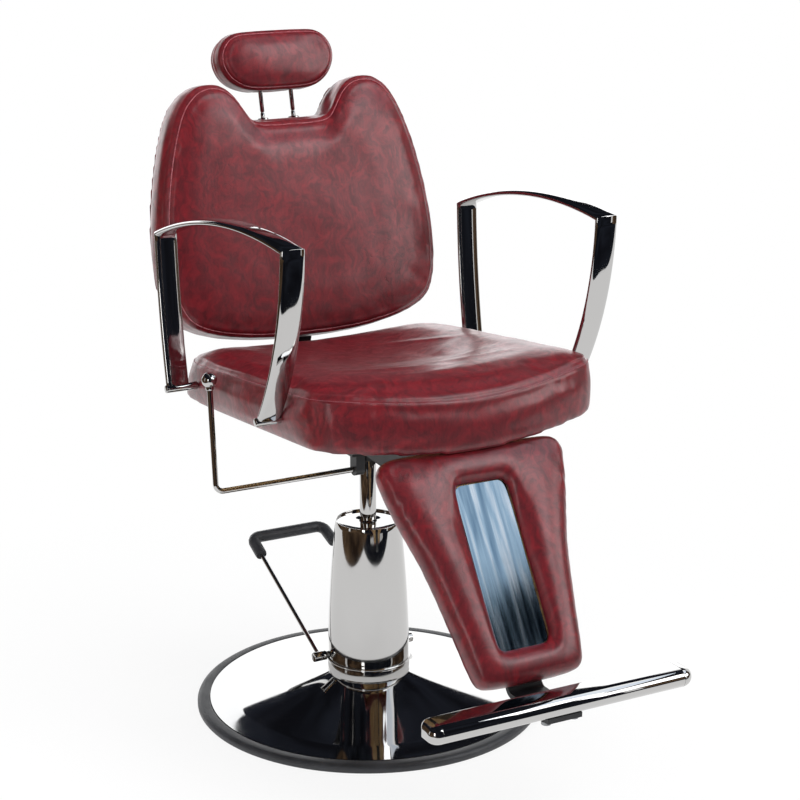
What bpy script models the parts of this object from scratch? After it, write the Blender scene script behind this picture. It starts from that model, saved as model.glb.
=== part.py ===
"""A hydraulic barber chair: round base, pump column, tilted seat, linked backrest and legrest, headrest.

Metres, +Z up. The origin is on the floor under the column, the sitter faces -Y and the sitter's left is +X.
"""

import math

import bmesh
import bpy
from mathutils import Matrix, Vector

GAP = 0.0003  # between pieces that touch on the real chair
RUN = 0.0003  # radial clearance of a pin or rod in its hole
COARSE, MEDIUM, FINE = 10, 20, 40  # sides of a small, middling and large round piece

# Base and column
BASE_RADIUS = 0.300
RIM_WIDTH = 0.022
RIM_HEIGHT = 0.014
PLATE_THICKNESS = 0.008
SHEET = 0.0016
DISH_BORDER_RADIUS = 0.236
DISH_BORDER_RISE = 0.0022
NECK_RADIUS = 0.0715
NECK_HEIGHT = 0.056
COLLAR_HEIGHT = 0.026
COLLAR_WALL = 0.006
COLLAR_LIP = 0.0015
SHROUD_HEIGHT = 0.249
SHROUD_FOOT_RADIUS = 0.0710
SHROUD_WAIST_RADIUS = 0.0665
SHROUD_TOP_RADIUS = 0.0560
SHROUD_WALL = 0.0018
PUMP_RADIUS = 0.050
PUMP_HEIGHT = 0.115
CYLINDER_RADIUS = 0.0265
CYLINDER_TOP = 0.300
GLAND_RADIUS = 0.032
GLAND_HEIGHT = 0.016
PISTON_RADIUS = 0.0140
PISTON_BOTTOM = 0.200

# Pump lever: a bent rod on a shaft across the foot of the column
SHAFT_Y = 0.022
SHAFT_Z = 0.0865
SHAFT_RADIUS = 0.006
BOSS_RADIUS = 0.0085
BOSS_WIDTH = 0.024
BAIL_FOOT_X = 0.085
BAIL_TOP_X = 0.0725
BAIL_TOP_Y = 0.329
BAIL_TOP_Z = 0.2045
BAIL_RADIUS = 0.0038
BAIL_BEND = 0.016
GRIP_RADIUS = 0.0098
GRIP_LEG = 0.040

# Seat: a frame of reference tilted up at the front
SEAT_TILT = math.radians(5.0)
SEAT_UNDERSIDE = 0.544
SEAT_HALF_WIDTH = 0.250
SEAT_BACK = 0.268
SEAT_FRONT = 0.365
SEAT_CORNER = 0.275
SEAT_LIP_DROP = 0.024
SEAT_BULGE = 0.004
SEAM_BACK = 0.074
SEAM_FRONT = 0.090
SEAT_CROWN = 0.018
SEAT_DISH = 0.026
SEAT_SKIN = 0.014
PANEL_LOW = 0.046
PANEL_THICKNESS = 0.012
RAIL_LOW = 0.006
RAIL_WIDTH = 0.030
RAIL_BACK = 0.165
RAIL_FRONT = 0.240
RAIL_OUTER = SEAT_HALF_WIDTH - 0.035

# Steel carrier under the seat
CHEEK_X = 0.045
CHEEK_THICKNESS = 0.004
WEB_THICKNESS = 0.004
WEB_BACK = 0.215
WEB_FRONT = 0.255
HUB_RADIUS = 0.0185
HUB_BOTTOM = SEAT_UNDERSIDE - 0.1035
HUB_PLATE_BOTTOM = SEAT_UNDERSIDE - 0.076
PISTON_TOP = HUB_PLATE_BOTTOM - 0.007
HUB_PLATE_THICKNESS = 0.008
HUB_PLATE_X = 0.060
HUB_PLATE_Y = 0.060
PIN_RADIUS = 0.006
PIN_HEAD = 0.003
KNUCKLE_RADIUS = 0.0115
LUG_RADIUS = 0.0155
EAR_RADIUS = 0.012
EAR_REACH = 0.078
EAR_DROOP = math.radians(4.0)

# Backrest: leans back, hinged low behind the seat
BACK_FOOT = (0.211, SEAT_UNDERSIDE + 0.1098)
BACK_LEAN = math.atan2(0.2086, 0.978)
BACK_HINGE = (0.231, SEAT_UNDERSIDE - 0.0554)
BACK_DEPTH = 0.086
BACK_HALF_WIDTH = 0.2585
BACK_HEIGHT = 0.402
BACK_NOTCH = 0.067
BACK_HEEL = 0.041
BACK_BOARD_DEPTH = 0.039
BACK_BOARD_THICKNESS = 0.011
BACK_SKIN = 0.018
BACK_PANEL_THICKNESS = 0.009
BACK_CROWN = 0.014
BACK_BAR_WIDTH = 0.036
BACK_BAR_THICKNESS = 0.008
BACK_BAR_TOP = 0.15
BAR_CLEAR = 0.004
BAR_REACH = 0.050
BAR_RISE = 0.040

# Link that makes the legrest rise as the back reclines
LINK_SWING = math.radians(48.0)
CRANK_LENGTH = 0.045
CRANK_X = 0.019
CRANK_THICKNESS = 0.006
LINK_X = 0.0255
LINK_THICKNESS = 0.006
LINK_HALF_HEIGHT = 0.008
CRANK_PIN_RADIUS = 0.004

# Headrest on two posts that slide in the top of the backrest
POST_X = 0.0296
POST_DEPTH = 0.0568
POST_RADIUS = 0.0040
POST_BOTTOM = BACK_HEIGHT - 0.197
POST_TOP = BACK_HEIGHT + 0.063
NOTCH_FIRST = POST_BOTTOM + 0.030
NOTCH_PITCH = 0.015
NOTCH_COUNT = 9
NOTCH_DEPTH = 0.0010
GUIDE_RADIUS = 0.0062
GUIDE_BOTTOM = BACK_HEIGHT - 0.237
COLLAR_SEAT = BACK_HEIGHT - BACK_NOTCH + 0.0045
FERRULE_RADIUS = 0.0100
FERRULE_HEIGHT = 0.005
HEAD_CENTRE = BACK_HEIGHT + 0.041
HEAD_THICKNESS = 0.072
HEAD_HALF_WIDTH = 0.1045
HEAD_HALF_HEIGHT = 0.046
HEAD_CROWN = 0.010
HEAD_PLATE_X = 0.044
HEAD_SLOT_MOUTH = 0.024
HEAD_PLATE_THICKNESS = 0.003

# Legrest and footrest
LEG_TOP = (-0.3706, SEAT_UNDERSIDE - 0.0374)
LEG_SLOPE = math.atan2(0.5362, 0.8441)
LEG_TUCK = 0.050
LEG_LENGTH = 0.3135
LEG_HALF_WIDTH = 0.1495
LEG_HINGE_ALONG = 0.020
LEG_HINGE_DEPTH = 0.042
LEG_BACK = 0.0283
LEG_SKIN = 0.010
WINDOW_HALF_WIDTH = 0.0460
WINDOW_START = 0.001
WINDOW_LENGTH = 0.262
WINDOW_CORNER = 0.014
INSERT_THICKNESS = 0.003
STRUT_WIDTH = 0.060
STRUT_THICKNESS = 0.008
STRUT_TOP = 0.014
FOOT_AHEAD = 0.0748
FOOT_BELOW = 0.0070
FOOT_Y = LEG_TOP[0] - math.sin(LEG_SLOPE) * LEG_LENGTH - FOOT_AHEAD
FOOT_Z = LEG_TOP[1] - math.cos(LEG_SLOPE) * LEG_LENGTH - FOOT_BELOW
FOOT_HALF_LENGTH = 0.2095
FOOT_DEPTH = 0.046
FOOT_HEIGHT = 0.030
FOOT_BACK_RADIUS = 0.005
FOOT_CAP = 0.019
FOOT_BOLT_X = 0.024
FOOT_BOLT_RADIUS = 0.004

# Arms: one flat-oval tube each, mitred at the top corners
ARM_FRONT_X = SEAT_HALF_WIDTH + 0.027
ARM_BACK_X = SEAT_HALF_WIDTH + 0.037
ARM_WIDTH = 0.040
ARM_THICKNESS = 0.011
ARM_FRONT_TOP = (-0.2935, SEAT_UNDERSIDE + 0.336)
ARM_FRONT_MID = (-0.268, SEAT_UNDERSIDE + 0.190)
ARM_FRONT_FOOT = (-0.203, SEAT_UNDERSIDE + 0.056)
ARM_ARCH_MID = (-0.070, SEAT_UNDERSIDE + 0.3405)
ARM_BACK_TOP = (0.168, SEAT_UNDERSIDE + 0.285)
ARM_BACK_MID = (0.158, SEAT_UNDERSIDE + 0.156)
ARM_BACK_FOOT = (0.137, SEAT_UNDERSIDE + 0.026)
ARM_BOSS_RADIUS = 0.0068
ARM_STUD_RADIUS = 0.003

# Recline lever beside the seat
LEVER_Y = -0.016
LEVER_Z = SEAT_UNDERSIDE - 0.113
LEVER_X = -SEAT_HALF_WIDTH - 0.037
LEVER_RADIUS = 0.0048
LEVER_BEND = 0.013
LEVER_BRACKET_X = -0.036
LEVER_BRACKET_WIDTH = 0.0168
BALL_RADIUS = 0.0125
BALL_Y = 0.001
BALL_Z = LEVER_Z + 0.1855

FINISHES = {
    "chrome": ((0.80, 0.81, 0.82), 0.08, 1.0),
    "black_steel": ((0.02, 0.02, 0.022), 0.45, 0.0),
    "grey_steel": ((0.35, 0.35, 0.36), 0.40, 1.0),
    "black_rubber": ((0.03, 0.03, 0.032), 0.60, 0.0),
    "oxblood_leather": ((0.28, 0.03, 0.04), 0.35, 0.0),
    "plywood": ((0.55, 0.40, 0.24), 0.70, 0.0),
    "brushed_steel": ((0.55, 0.60, 0.66), 0.25, 1.0),
}


# ---- Scene, materials and frames of reference ----


def clear_scene():
    for obj in list(bpy.data.objects):
        bpy.data.objects.remove(obj, do_unlink=True)


def finish_named(name):
    """The material of a finish in FINISHES, made once."""
    material = bpy.data.materials.get(name)
    if material:
        return material
    colour, roughness, metallic = FINISHES[name]
    material = bpy.data.materials.new(name)
    material.use_nodes = True
    shader = material.node_tree.nodes["Principled BSDF"]
    shader.inputs["Base Color"].default_value = (*colour, 1.0)
    shader.inputs["Roughness"].default_value = roughness
    shader.inputs["Metallic"].default_value = metallic
    return material


class Frame:
    """Axes for a tilted group of pieces: across is X, along and out lie in the YZ plane."""

    def __init__(self, origin, along, out):
        self.origin = Vector((0.0, *origin))
        self.along = Vector((0.0, *along))
        self.out = Vector((0.0, *out))

    def at(self, x, along, out=0.0):
        """The world point at x across, along and out from the frame's origin."""
        return self.origin + Vector((x, 0.0, 0.0)) + self.along * along + self.out * out

    def local(self, y, z):
        """(along, out) of a world point in the YZ plane."""
        offset = Vector((0.0, y, z)) - self.origin
        return offset.dot(self.along), offset.dot(self.out)


SEAT = Frame(
    (0.0, SEAT_UNDERSIDE),
    (-math.cos(SEAT_TILT), math.sin(SEAT_TILT)),
    (math.sin(SEAT_TILT), math.cos(SEAT_TILT)),
)
BACK = Frame(
    BACK_FOOT,
    (math.sin(BACK_LEAN), math.cos(BACK_LEAN)),
    (math.cos(BACK_LEAN), -math.sin(BACK_LEAN)),
)
LEG = Frame(
    LEG_TOP,
    (-math.sin(LEG_SLOPE), -math.cos(LEG_SLOPE)),
    (-math.cos(LEG_SLOPE), math.sin(LEG_SLOPE)),
)
LEG_HINGE = tuple(LEG.at(0.0, LEG_HINGE_ALONG, -LEG_HINGE_DEPTH).yz)
CRANK = Vector((math.sin(LINK_SWING / 2), -math.cos(LINK_SWING / 2))) * CRANK_LENGTH


# ---- Modelling tools ----


def piece(name, mesh, finish, smooth=True):
    """Turns a bmesh into a finished, named object."""
    bmesh.ops.remove_doubles(mesh, verts=mesh.verts, dist=1e-6)
    bmesh.ops.recalc_face_normals(mesh, faces=mesh.faces)
    data = bpy.data.meshes.new(name)
    mesh.to_mesh(data)
    mesh.free()
    obj = bpy.data.objects.new(name, data)
    bpy.context.scene.collection.objects.link(obj)
    data.materials.append(finish_named(finish))
    if smooth:
        data.shade_smooth()
        data.set_sharp_from_angle(angle=math.radians(35))
    return obj


def skinned(rings, closed=False, capped=True):
    """A bmesh through rings of as many points each: closed joins the last ring to the first."""
    mesh = bmesh.new()
    loops = [[mesh.verts.new(point) for point in ring] for ring in rings]
    pairs = list(zip(loops, loops[1:]))
    if closed:
        pairs.append((loops[-1], loops[0]))
    for first, second in pairs:
        for i in range(len(first)):
            j = (i + 1) % len(first)
            mesh.faces.new((first[i], first[j], second[j], second[i]))
    if capped and not closed:
        mesh.faces.new(loops[0])
        mesh.faces.new(loops[-1])
    return mesh


def turned(profile, steps, centre=(0.0, 0.0, 0.0), turn=None):
    """A bmesh of a profile of (radius, height) points spun about +Z, then turned and put at centre."""
    mesh = bmesh.new()
    points = [mesh.verts.new((radius, 0.0, height)) for radius, height in profile]
    edges = []
    for i, point in enumerate(points):
        after = points[(i + 1) % len(points)]
        if point.co.x > 0 or after.co.x > 0:
            edges.append(mesh.edges.new((point, after)))
    bmesh.ops.spin(
        mesh,
        geom=points + edges,
        axis=(0, 0, 1),
        cent=(0, 0, 0),
        angle=math.tau,
        steps=steps,
        use_merge=True,
    )
    bmesh.ops.remove_doubles(mesh, verts=mesh.verts, dist=1e-6)
    if turn:
        bmesh.ops.transform(mesh, matrix=turn, verts=mesh.verts)
    bmesh.ops.translate(mesh, vec=Vector(centre), verts=mesh.verts)
    return mesh


TO_X = Matrix.Rotation(math.radians(90), 4, "Y")
TO_BACK = Matrix.Rotation(-BACK_LEAN, 4, "X")


def rod_profile(radius, low, high, bore=0.0):
    """A cylinder or tube as a profile, with a small chamfer on the outer edges."""
    bevel = min(radius * 0.12, 0.0008)
    outside = [(radius - bevel, low), (radius, low + bevel), (radius, high - bevel), (radius - bevel, high)]
    if bore:
        return outside + [(bore, high), (bore, low)]
    return outside + [(0.0, high), (0.0, low)]


def crosswise(radius, x_low, x_high, y, z, bore=0.0, steps=MEDIUM):
    """A round rod or tube along X."""
    return turned(rod_profile(radius, x_low, x_high, bore), steps, (0.0, y, z), TO_X)


def swept(path, radius, sides):
    """Rings of a round section along a path, mitred at its points."""
    path = [Vector(point) for point in path]
    rings = []
    normal = None
    for i, point in enumerate(path):
        before = (point - path[i - 1]).normalized() if i else (path[1] - point).normalized()
        after = (path[i + 1] - point).normalized() if i < len(path) - 1 else before
        tangent = (before + after).normalized()
        if normal is None:
            normal = tangent.orthogonal().normalized()
        normal = (normal - tangent * normal.dot(tangent)).normalized()
        side = tangent.cross(normal)
        ring = []
        for k in range(sides):
            angle = math.tau * k / sides
            ring.append(point + (normal * math.cos(angle) + side * math.sin(angle)) * radius)
        rings.append(ring)
    return rings


def rounded_path(corners, radius, steps=5):
    """A path through corners, each inner one replaced by an arc."""
    corners = [Vector(corner) for corner in corners]
    path = [corners[0]]
    for before, corner, after in zip(corners, corners[1:], corners[2:]):
        into = (before - corner).normalized()
        out = (after - corner).normalized()
        half = into.angle(out) / 2
        centre = corner + (into + out).normalized() * (radius / math.sin(half))
        start = corner + into * (radius / math.tan(half)) - centre
        end = corner + out * (radius / math.tan(half)) - centre
        for k in range(steps + 1):
            path.append(centre + start.slerp(end, k / steps).normalized() * radius)
    path.append(corners[-1])
    return path


def prism(outline, frame, x_low, x_high):
    """A bmesh plate of an outline of world (y, z) points, or of frame points, from x_low to x_high."""
    if frame:
        rings = [[frame.at(x, along, out) for along, out in outline] for x in (x_low, x_high)]
    else:
        rings = [[Vector((x, y, z)) for y, z in outline] for x in (x_low, x_high)]
    return skinned(rings)


def layer(outline, frame, out_low, out_high):
    """A bmesh plate of an outline of (x, along) points between two heights of a frame."""
    return skinned([[frame.at(x, along, out) for x, along in outline] for out in (out_low, out_high)])


def box(frame, x_span, along_span, out_span):
    """A bmesh block between two values of each axis of a frame."""
    outline = [
        (x_span[0], along_span[0]),
        (x_span[1], along_span[0]),
        (x_span[1], along_span[1]),
        (x_span[0], along_span[1]),
    ]
    return layer(outline, frame, *out_span)


def combined(obj, mesh, operation):
    """Unites a bmesh with the object or cuts it away, keeping one closed body."""
    other = piece(obj.name + "_tool", mesh, "grey_steel", smooth=False)
    other.hide_render = True
    other.display_type = "WIRE"
    modifier = obj.modifiers.new(operation.title(), "BOOLEAN")
    modifier.operation = operation
    modifier.solver = "EXACT"
    modifier.object = other
    return obj


def arc_through(first, middle, last, steps):
    """Points on the circle through three points in a plane, from first to last."""
    a, b, c = Vector(first), Vector(middle), Vector(last)
    double = 2 * ((b - a).x * (c - a).y - (b - a).y * (c - a).x)
    ab, ac = (b - a).length_squared, (c - a).length_squared
    centre = a + Vector(
        (
            ((c - a).y * ab - (b - a).y * ac) / double,
            ((b - a).x * ac - (c - a).x * ab) / double,
        )
    )
    start = math.atan2((a - centre).y, (a - centre).x)
    sweep = (a - centre).angle_signed(c - centre) * -1
    radius = (a - centre).length
    points = []
    for k in range(steps + 1):
        angle = start + sweep * k / steps
        points.append((centre.x + radius * math.cos(angle), centre.y + radius * math.sin(angle)))
    return points


def smooth_outline(half, per_span):
    """A closed outline through the points of one half, which run from the centre line to the centre line."""
    mirrored = [(-x, y) for x, y in reversed(half[1:-1])]
    points = [Vector(point) for point in half + mirrored]
    outline = []
    count = len(points)
    for i in range(count):
        p0, p1, p2, p3 = (points[(i + k) % count] for k in (-1, 0, 1, 2))
        for k in range(per_span):
            t = k / per_span
            curve = (
                p1 * 2
                + (p2 - p0) * t
                + (p0 * 2 - p1 * 5 + p2 * 4 - p3) * t * t
                + (p1 * 3 - p0 - p2 * 3 + p3) * t * t * t
            )
            outline.append(tuple(curve / 2))
    return outline


def grown(outline, distance):
    """The outline moved outwards by a distance, along the mean normal at each point."""
    moved = []
    count = len(outline)
    area = sum(a[0] * b[1] - b[0] * a[1] for a, b in zip(outline, outline[1:] + outline[:1]))
    sign = 1 if area > 0 else -1
    for i in range(count):
        before, after = Vector(outline[i - 1]), Vector(outline[(i + 1) % count])
        run = (after - before).normalized()
        point = Vector(outline[i]) + Vector((run.y, -run.x)) * distance * sign
        moved.append(tuple(point))
    return moved


def shrunk(outline, share, centre):
    """The outline drawn towards a centre, to a share of its size."""
    return [
        (centre[0] + (x - centre[0]) * share, centre[1] + (along - centre[1]) * share)
        for x, along in outline
    ]


# ---- Base and column ----

DISH_FOOT_RADIUS = BASE_RADIUS - RIM_WIDTH
COLLAR_TOP = NECK_HEIGHT + GAP + COLLAR_HEIGHT
SHROUD_FOOT = COLLAR_TOP + GAP


def dish_profile():
    """The upper face of the pressed base: a nearly flat border, then a cone that steepens to the neck."""
    cone_foot = RIM_HEIGHT + DISH_BORDER_RISE
    points = [(DISH_FOOT_RADIUS - GAP, RIM_HEIGHT)]
    for share in (0.0, 0.04, 0.12, 0.28, 0.46, 0.64, 0.80, 0.91, 1.0):
        radius = DISH_BORDER_RADIUS - (DISH_BORDER_RADIUS - NECK_RADIUS) * share
        rise = 0.35 * share**1.3 + 0.50 * share + 0.15 * share**5
        points.append((radius, cone_foot + (NECK_HEIGHT - cone_foot) * rise))
    return points


def make_base():
    inner = DISH_FOOT_RADIUS
    rim = [
        (BASE_RADIUS - 0.001, 0.0),
        (BASE_RADIUS, 0.002),
        (BASE_RADIUS, RIM_HEIGHT - 0.006),
        (BASE_RADIUS - 0.002, RIM_HEIGHT - 0.002),
        (BASE_RADIUS - 0.006, RIM_HEIGHT),
        (inner + 0.002, RIM_HEIGHT),
        (inner, RIM_HEIGHT - 0.001),
        (inner, 0.0),
    ]
    piece("base_rim", turned(rim, FINE), "black_rubber")
    plate_radius = inner - GAP
    piece("base_plate", turned(rod_profile(plate_radius, 0.0, PLATE_THICKNESS), FINE), "grey_steel")
    top = dish_profile()
    under = [(radius, height - SHEET) for radius, height in reversed(top)]
    skirt = [(top[0][0] - SHEET, PLATE_THICKNESS + GAP), (top[0][0], PLATE_THICKNESS + GAP)]
    under[-1] = (top[0][0] - SHEET, top[0][1] - SHEET)
    piece("base_dish", turned(top + under + skirt, FINE), "chrome")
    low, high = NECK_HEIGHT + GAP, COLLAR_TOP
    collar = [
        (NECK_RADIUS, low),
        (NECK_RADIUS, high - 0.004),
        (NECK_RADIUS + COLLAR_LIP, high - 0.003),
        (NECK_RADIUS + COLLAR_LIP, high - 0.0005),
        (NECK_RADIUS, high),
        (NECK_RADIUS - COLLAR_WALL, high),
        (NECK_RADIUS - COLLAR_WALL, low),
    ]
    band = piece("base_collar", turned(collar, FINE), "chrome")
    notch = SHAFT_RADIUS + 0.001
    reach = NECK_RADIUS + COLLAR_WALL
    combined(band, crosswise(notch, -reach, reach, SHAFT_Y, SHAFT_Z), "DIFFERENCE")


def shroud_radius(share):
    """Outer radius of the column cover, from its foot at 0 to its top at 1."""
    straight = SHROUD_FOOT_RADIUS + (SHROUD_TOP_RADIUS - SHROUD_FOOT_RADIUS) * share
    middle = (SHROUD_FOOT_RADIUS + SHROUD_TOP_RADIUS) / 2
    return straight + 4 * share * (1 - share) * (SHROUD_WAIST_RADIUS - middle)


def make_column():
    shares = [k / 6 for k in range(7)]
    outside = [(shroud_radius(s), SHROUD_FOOT + SHROUD_HEIGHT * s) for s in reversed(shares)]
    inside = [(radius - SHROUD_WALL, height) for radius, height in reversed(outside)]
    shroud = piece("column_shroud", turned(outside + inside, FINE), "chrome")
    reach = SHROUD_FOOT_RADIUS + SHROUD_WALL
    slot = crosswise(SHAFT_RADIUS + 0.001, -reach, reach, SHAFT_Y, SHAFT_Z)
    combined(shroud, slot, "DIFFERENCE")
    low = PLATE_THICKNESS + GAP
    bore = PISTON_RADIUS + RUN
    body = [
        (PUMP_RADIUS, low),
        (PUMP_RADIUS, PUMP_HEIGHT - 0.006),
        (PUMP_RADIUS - 0.006, PUMP_HEIGHT),
        (CYLINDER_RADIUS, PUMP_HEIGHT),
        (CYLINDER_RADIUS, CYLINDER_TOP),
        (bore, CYLINDER_TOP),
        (bore, PUMP_HEIGHT),
        (0.0, PUMP_HEIGHT),
        (0.0, low),
    ]
    pump = piece("pump_body", turned(body, MEDIUM), "grey_steel")
    reach = PUMP_RADIUS + 0.01
    bearing = crosswise(SHAFT_RADIUS + RUN, -reach, reach, SHAFT_Y, SHAFT_Z)
    combined(pump, bearing, "DIFFERENCE")
    gland = rod_profile(GLAND_RADIUS, CYLINDER_TOP + GAP, CYLINDER_TOP + GAP + GLAND_HEIGHT, bore)
    piece("gland_nut", turned(gland, MEDIUM), "grey_steel")
    piston = rod_profile(PISTON_RADIUS, PISTON_BOTTOM, PISTON_TOP)
    piece("piston_rod", turned(piston, MEDIUM), "chrome")


def make_pump_lever():
    outer = BAIL_FOOT_X + BOSS_WIDTH / 2
    shaft = crosswise(SHAFT_RADIUS, -outer + BOSS_WIDTH + GAP, outer - BOSS_WIDTH - GAP, SHAFT_Y, SHAFT_Z)
    piece("lever_shaft", shaft, "grey_steel")
    feet = [Vector((side * BAIL_FOOT_X, SHAFT_Y, SHAFT_Z)) for side in (-1, 1)]
    tops = [Vector((side * BAIL_TOP_X, BAIL_TOP_Y, BAIL_TOP_Z)) for side in (-1, 1)]
    clear = BOSS_RADIUS + GAP
    starts = [foot + (top - foot).normalized() * clear for foot, top in zip(feet, tops)]
    path = rounded_path([starts[0], *tops, starts[1]], BAIL_BEND)
    piece("lever_bail", skinned(swept(path, BAIL_RADIUS, COARSE)), "chrome")
    ends = [top + (foot - top).normalized() * GRIP_LEG for foot, top in zip(feet, tops)]
    sleeve = rounded_path([ends[0], *tops, ends[1]], BAIL_BEND)
    outside = swept(sleeve, GRIP_RADIUS, COARSE)
    inside = swept(sleeve, BAIL_RADIUS + RUN, COARSE)
    piece("lever_grip", skinned(outside + inside[::-1], closed=True), "black_rubber")
    for side, name in ((-1, "right"), (1, "left")):
        middle = side * BAIL_FOOT_X
        boss = crosswise(BOSS_RADIUS, middle - BOSS_WIDTH / 2, middle + BOSS_WIDTH / 2, SHAFT_Y, SHAFT_Z)
        piece(f"lever_boss_{name}", boss, "chrome")


# ---- Seat ----

SEAT_CENTRE = (0.0, SEAT_FRONT * 0.274)


def seat_outline():
    """The cushion's outline on its underside: square at the back, gently bowed at the front."""
    wide, back, bow = SEAT_HALF_WIDTH, SEAT_BACK, SEAT_FRONT - SEAT_CORNER
    half = [
        (0.0, -back),
        (wide * 0.45, -back),
        (wide * 0.80, -back * 0.975),
        (wide * 0.94, -back * 0.85),
        (wide * 0.985, -back * 0.55),
        (wide, 0.02),
        (wide, SEAT_CORNER * 0.55),
        (wide, SEAT_CORNER),
        (wide * 0.975, SEAT_CORNER + bow * 0.34),
        (wide * 0.90, SEAT_CORNER + bow * 0.57),
        (wide * 0.70, SEAT_CORNER + bow * 0.76),
        (wide * 0.36, SEAT_CORNER + bow * 0.94),
        (0.0, SEAT_FRONT),
    ]
    return smooth_outline(half, 2)


def seat_half_width(along):
    """Half width of the bulging side of the cushion at a distance along the seat."""
    outline = seat_outline()
    for (x, low), (next_x, high) in zip(outline, outline[1:]):
        if low <= along <= high:
            return x + (next_x - x) * (along - low) / (high - low) + SEAT_BULGE
    return 0.0


def lip_drop(x, along):
    """How far the front edge dips at the middle of the seat."""
    forward = min(1.0, max(0.0, (along - SEAT_FRONT * 0.55) / (SEAT_FRONT * 0.45)))
    return SEAT_LIP_DROP * forward**2 * max(0.0, 1 - (x / SEAT_HALF_WIDTH) ** 2)


def top_outline(outline):
    """The outline at the top seam: drawn forwards at the back, where the cushion slopes."""
    return [(x, along * (0.80 if along < 0 else 1.0)) for x, along in outline]


def seam_height(along):
    """Height of the top seam above the underside."""
    share = (along + SEAT_BACK) / (SEAT_BACK + SEAT_FRONT)
    return SEAM_BACK + (SEAM_FRONT - SEAM_BACK) * share


def seat_top(x, along, share):
    """Height of the sitting surface, crowned inside the seam and dished between raised sides."""
    crown = SEAT_CROWN * (1 - share**6)
    sideways = max(0.0, 1 - (x / (SEAT_HALF_WIDTH * 0.8)) ** 2)
    towards_front = min(1.0, max(0.0, (SEAT_FRONT * 0.85 - along) / (SEAT_FRONT * 0.5)))
    dish = SEAT_DISH * sideways * towards_front * (1 - share**4)
    return seam_height(along) + crown - dish - lip_drop(x, along)


def make_seat_cushion():
    outline = seat_outline()
    top = top_outline(outline)
    rings = []
    for share in (0.03, 0.28, 0.52, 0.72, 0.87, 0.955, 1.0):
        ring = shrunk(top, share, SEAT_CENTRE)
        rings.append([SEAT.at(x, along, seat_top(x, along, share)) for x, along in ring])
    for height, bulge in ((0.62, SEAT_BULGE), (0.30, SEAT_BULGE * 0.7)):
        ring = []
        for low, high in zip(grown(outline, bulge), grown(top, bulge)):
            x, along = Vector(low).lerp(Vector(high), height)
            ring.append(SEAT.at(x, along, seam_height(along) * height - lip_drop(x, along)))
        rings.append(ring)
    for inset, height in ((0.0, 0.003), (0.005, 0.0)):
        ring = grown(outline, -inset)
        rings.append([SEAT.at(x, along, height - lip_drop(x, along)) for x, along in ring])
    pocket = grown(outline, -SEAT_SKIN)
    rings.append([SEAT.at(x, along, -lip_drop(x, along)) for x, along in pocket])
    roof = PANEL_LOW + PANEL_THICKNESS + GAP
    rings.append([SEAT.at(x, along, roof) for x, along in grown(top, -SEAT_SKIN)])
    cushion = piece("seat_cushion", skinned(rings), "oxblood_leather")
    for _, x, y, z in arm_feet():
        hole = crosswise(ARM_STUD_RADIUS + GAP, min(x, 0.0), max(x, 0.0), y, z, steps=COARSE)
        combined(cushion, hole, "DIFFERENCE")


def make_seat_frame():
    panel = [(x, along) for x, along in grown(top_outline(seat_outline()), -SEAT_SKIN - 0.004)]
    piece("seat_panel", layer(panel, SEAT, PANEL_LOW, PANEL_LOW + PANEL_THICKNESS), "plywood", False)
    rail_top = PANEL_LOW - GAP
    inner = RAIL_OUTER - RAIL_WIDTH
    for side, name in ((-1, "right"), (1, "left")):
        span = sorted((side * inner, side * RAIL_OUTER))
        block = box(SEAT, span, (-RAIL_BACK, RAIL_FRONT), (RAIL_LOW, rail_top))
        rail = piece(f"seat_rail_{name}", block, "plywood", False)
        for foot_side, x, y, z in arm_feet():
            if foot_side == side:
                hole = crosswise(ARM_STUD_RADIUS + RUN, min(x, 0.0), max(x, 0.0), y, z, steps=COARSE)
                combined(rail, hole, "DIFFERENCE")
    reach = inner - GAP
    for name, start in (("back", -RAIL_BACK), ("front", RAIL_FRONT - RAIL_WIDTH)):
        block = box(SEAT, (-reach, reach), (start, start + RAIL_WIDTH), (RAIL_LOW, rail_top))
        piece(f"seat_crossrail_{name}", block, "plywood", False)


def cheek_outline():
    """Side view of the carrier's cheeks: a lug at the back hinge and a hooked ear to the front one."""
    top = RAIL_LOW - GAP
    floor = HUB_PLATE_BOTTOM + HUB_PLATE_THICKNESS + GAP
    back, front = Vector(BACK_HINGE), Vector(LEG_HINGE)
    outline = [SEAT.at(0.0, -WEB_BACK, top).yz]
    for k in range(7):
        angle = math.radians(60 - 30 * k)
        outline.append(back + Vector((math.cos(angle), math.sin(angle))) * LUG_RADIUS)
    outline += [Vector((HUB_PLATE_Y, floor)), Vector((-HUB_PLATE_Y, floor))]
    for k in range(9):
        angle = -math.radians(90) + EAR_DROOP - math.pi * k / 8
        outline.append(front + Vector((math.cos(angle), math.sin(angle))) * EAR_RADIUS)
    inner = outline[-1] + Vector((math.cos(EAR_DROOP), math.sin(EAR_DROOP))) * EAR_REACH
    outline += [inner, SEAT.at(0.0, WEB_FRONT, top).yz]
    return [tuple(point) for point in outline]


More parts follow.
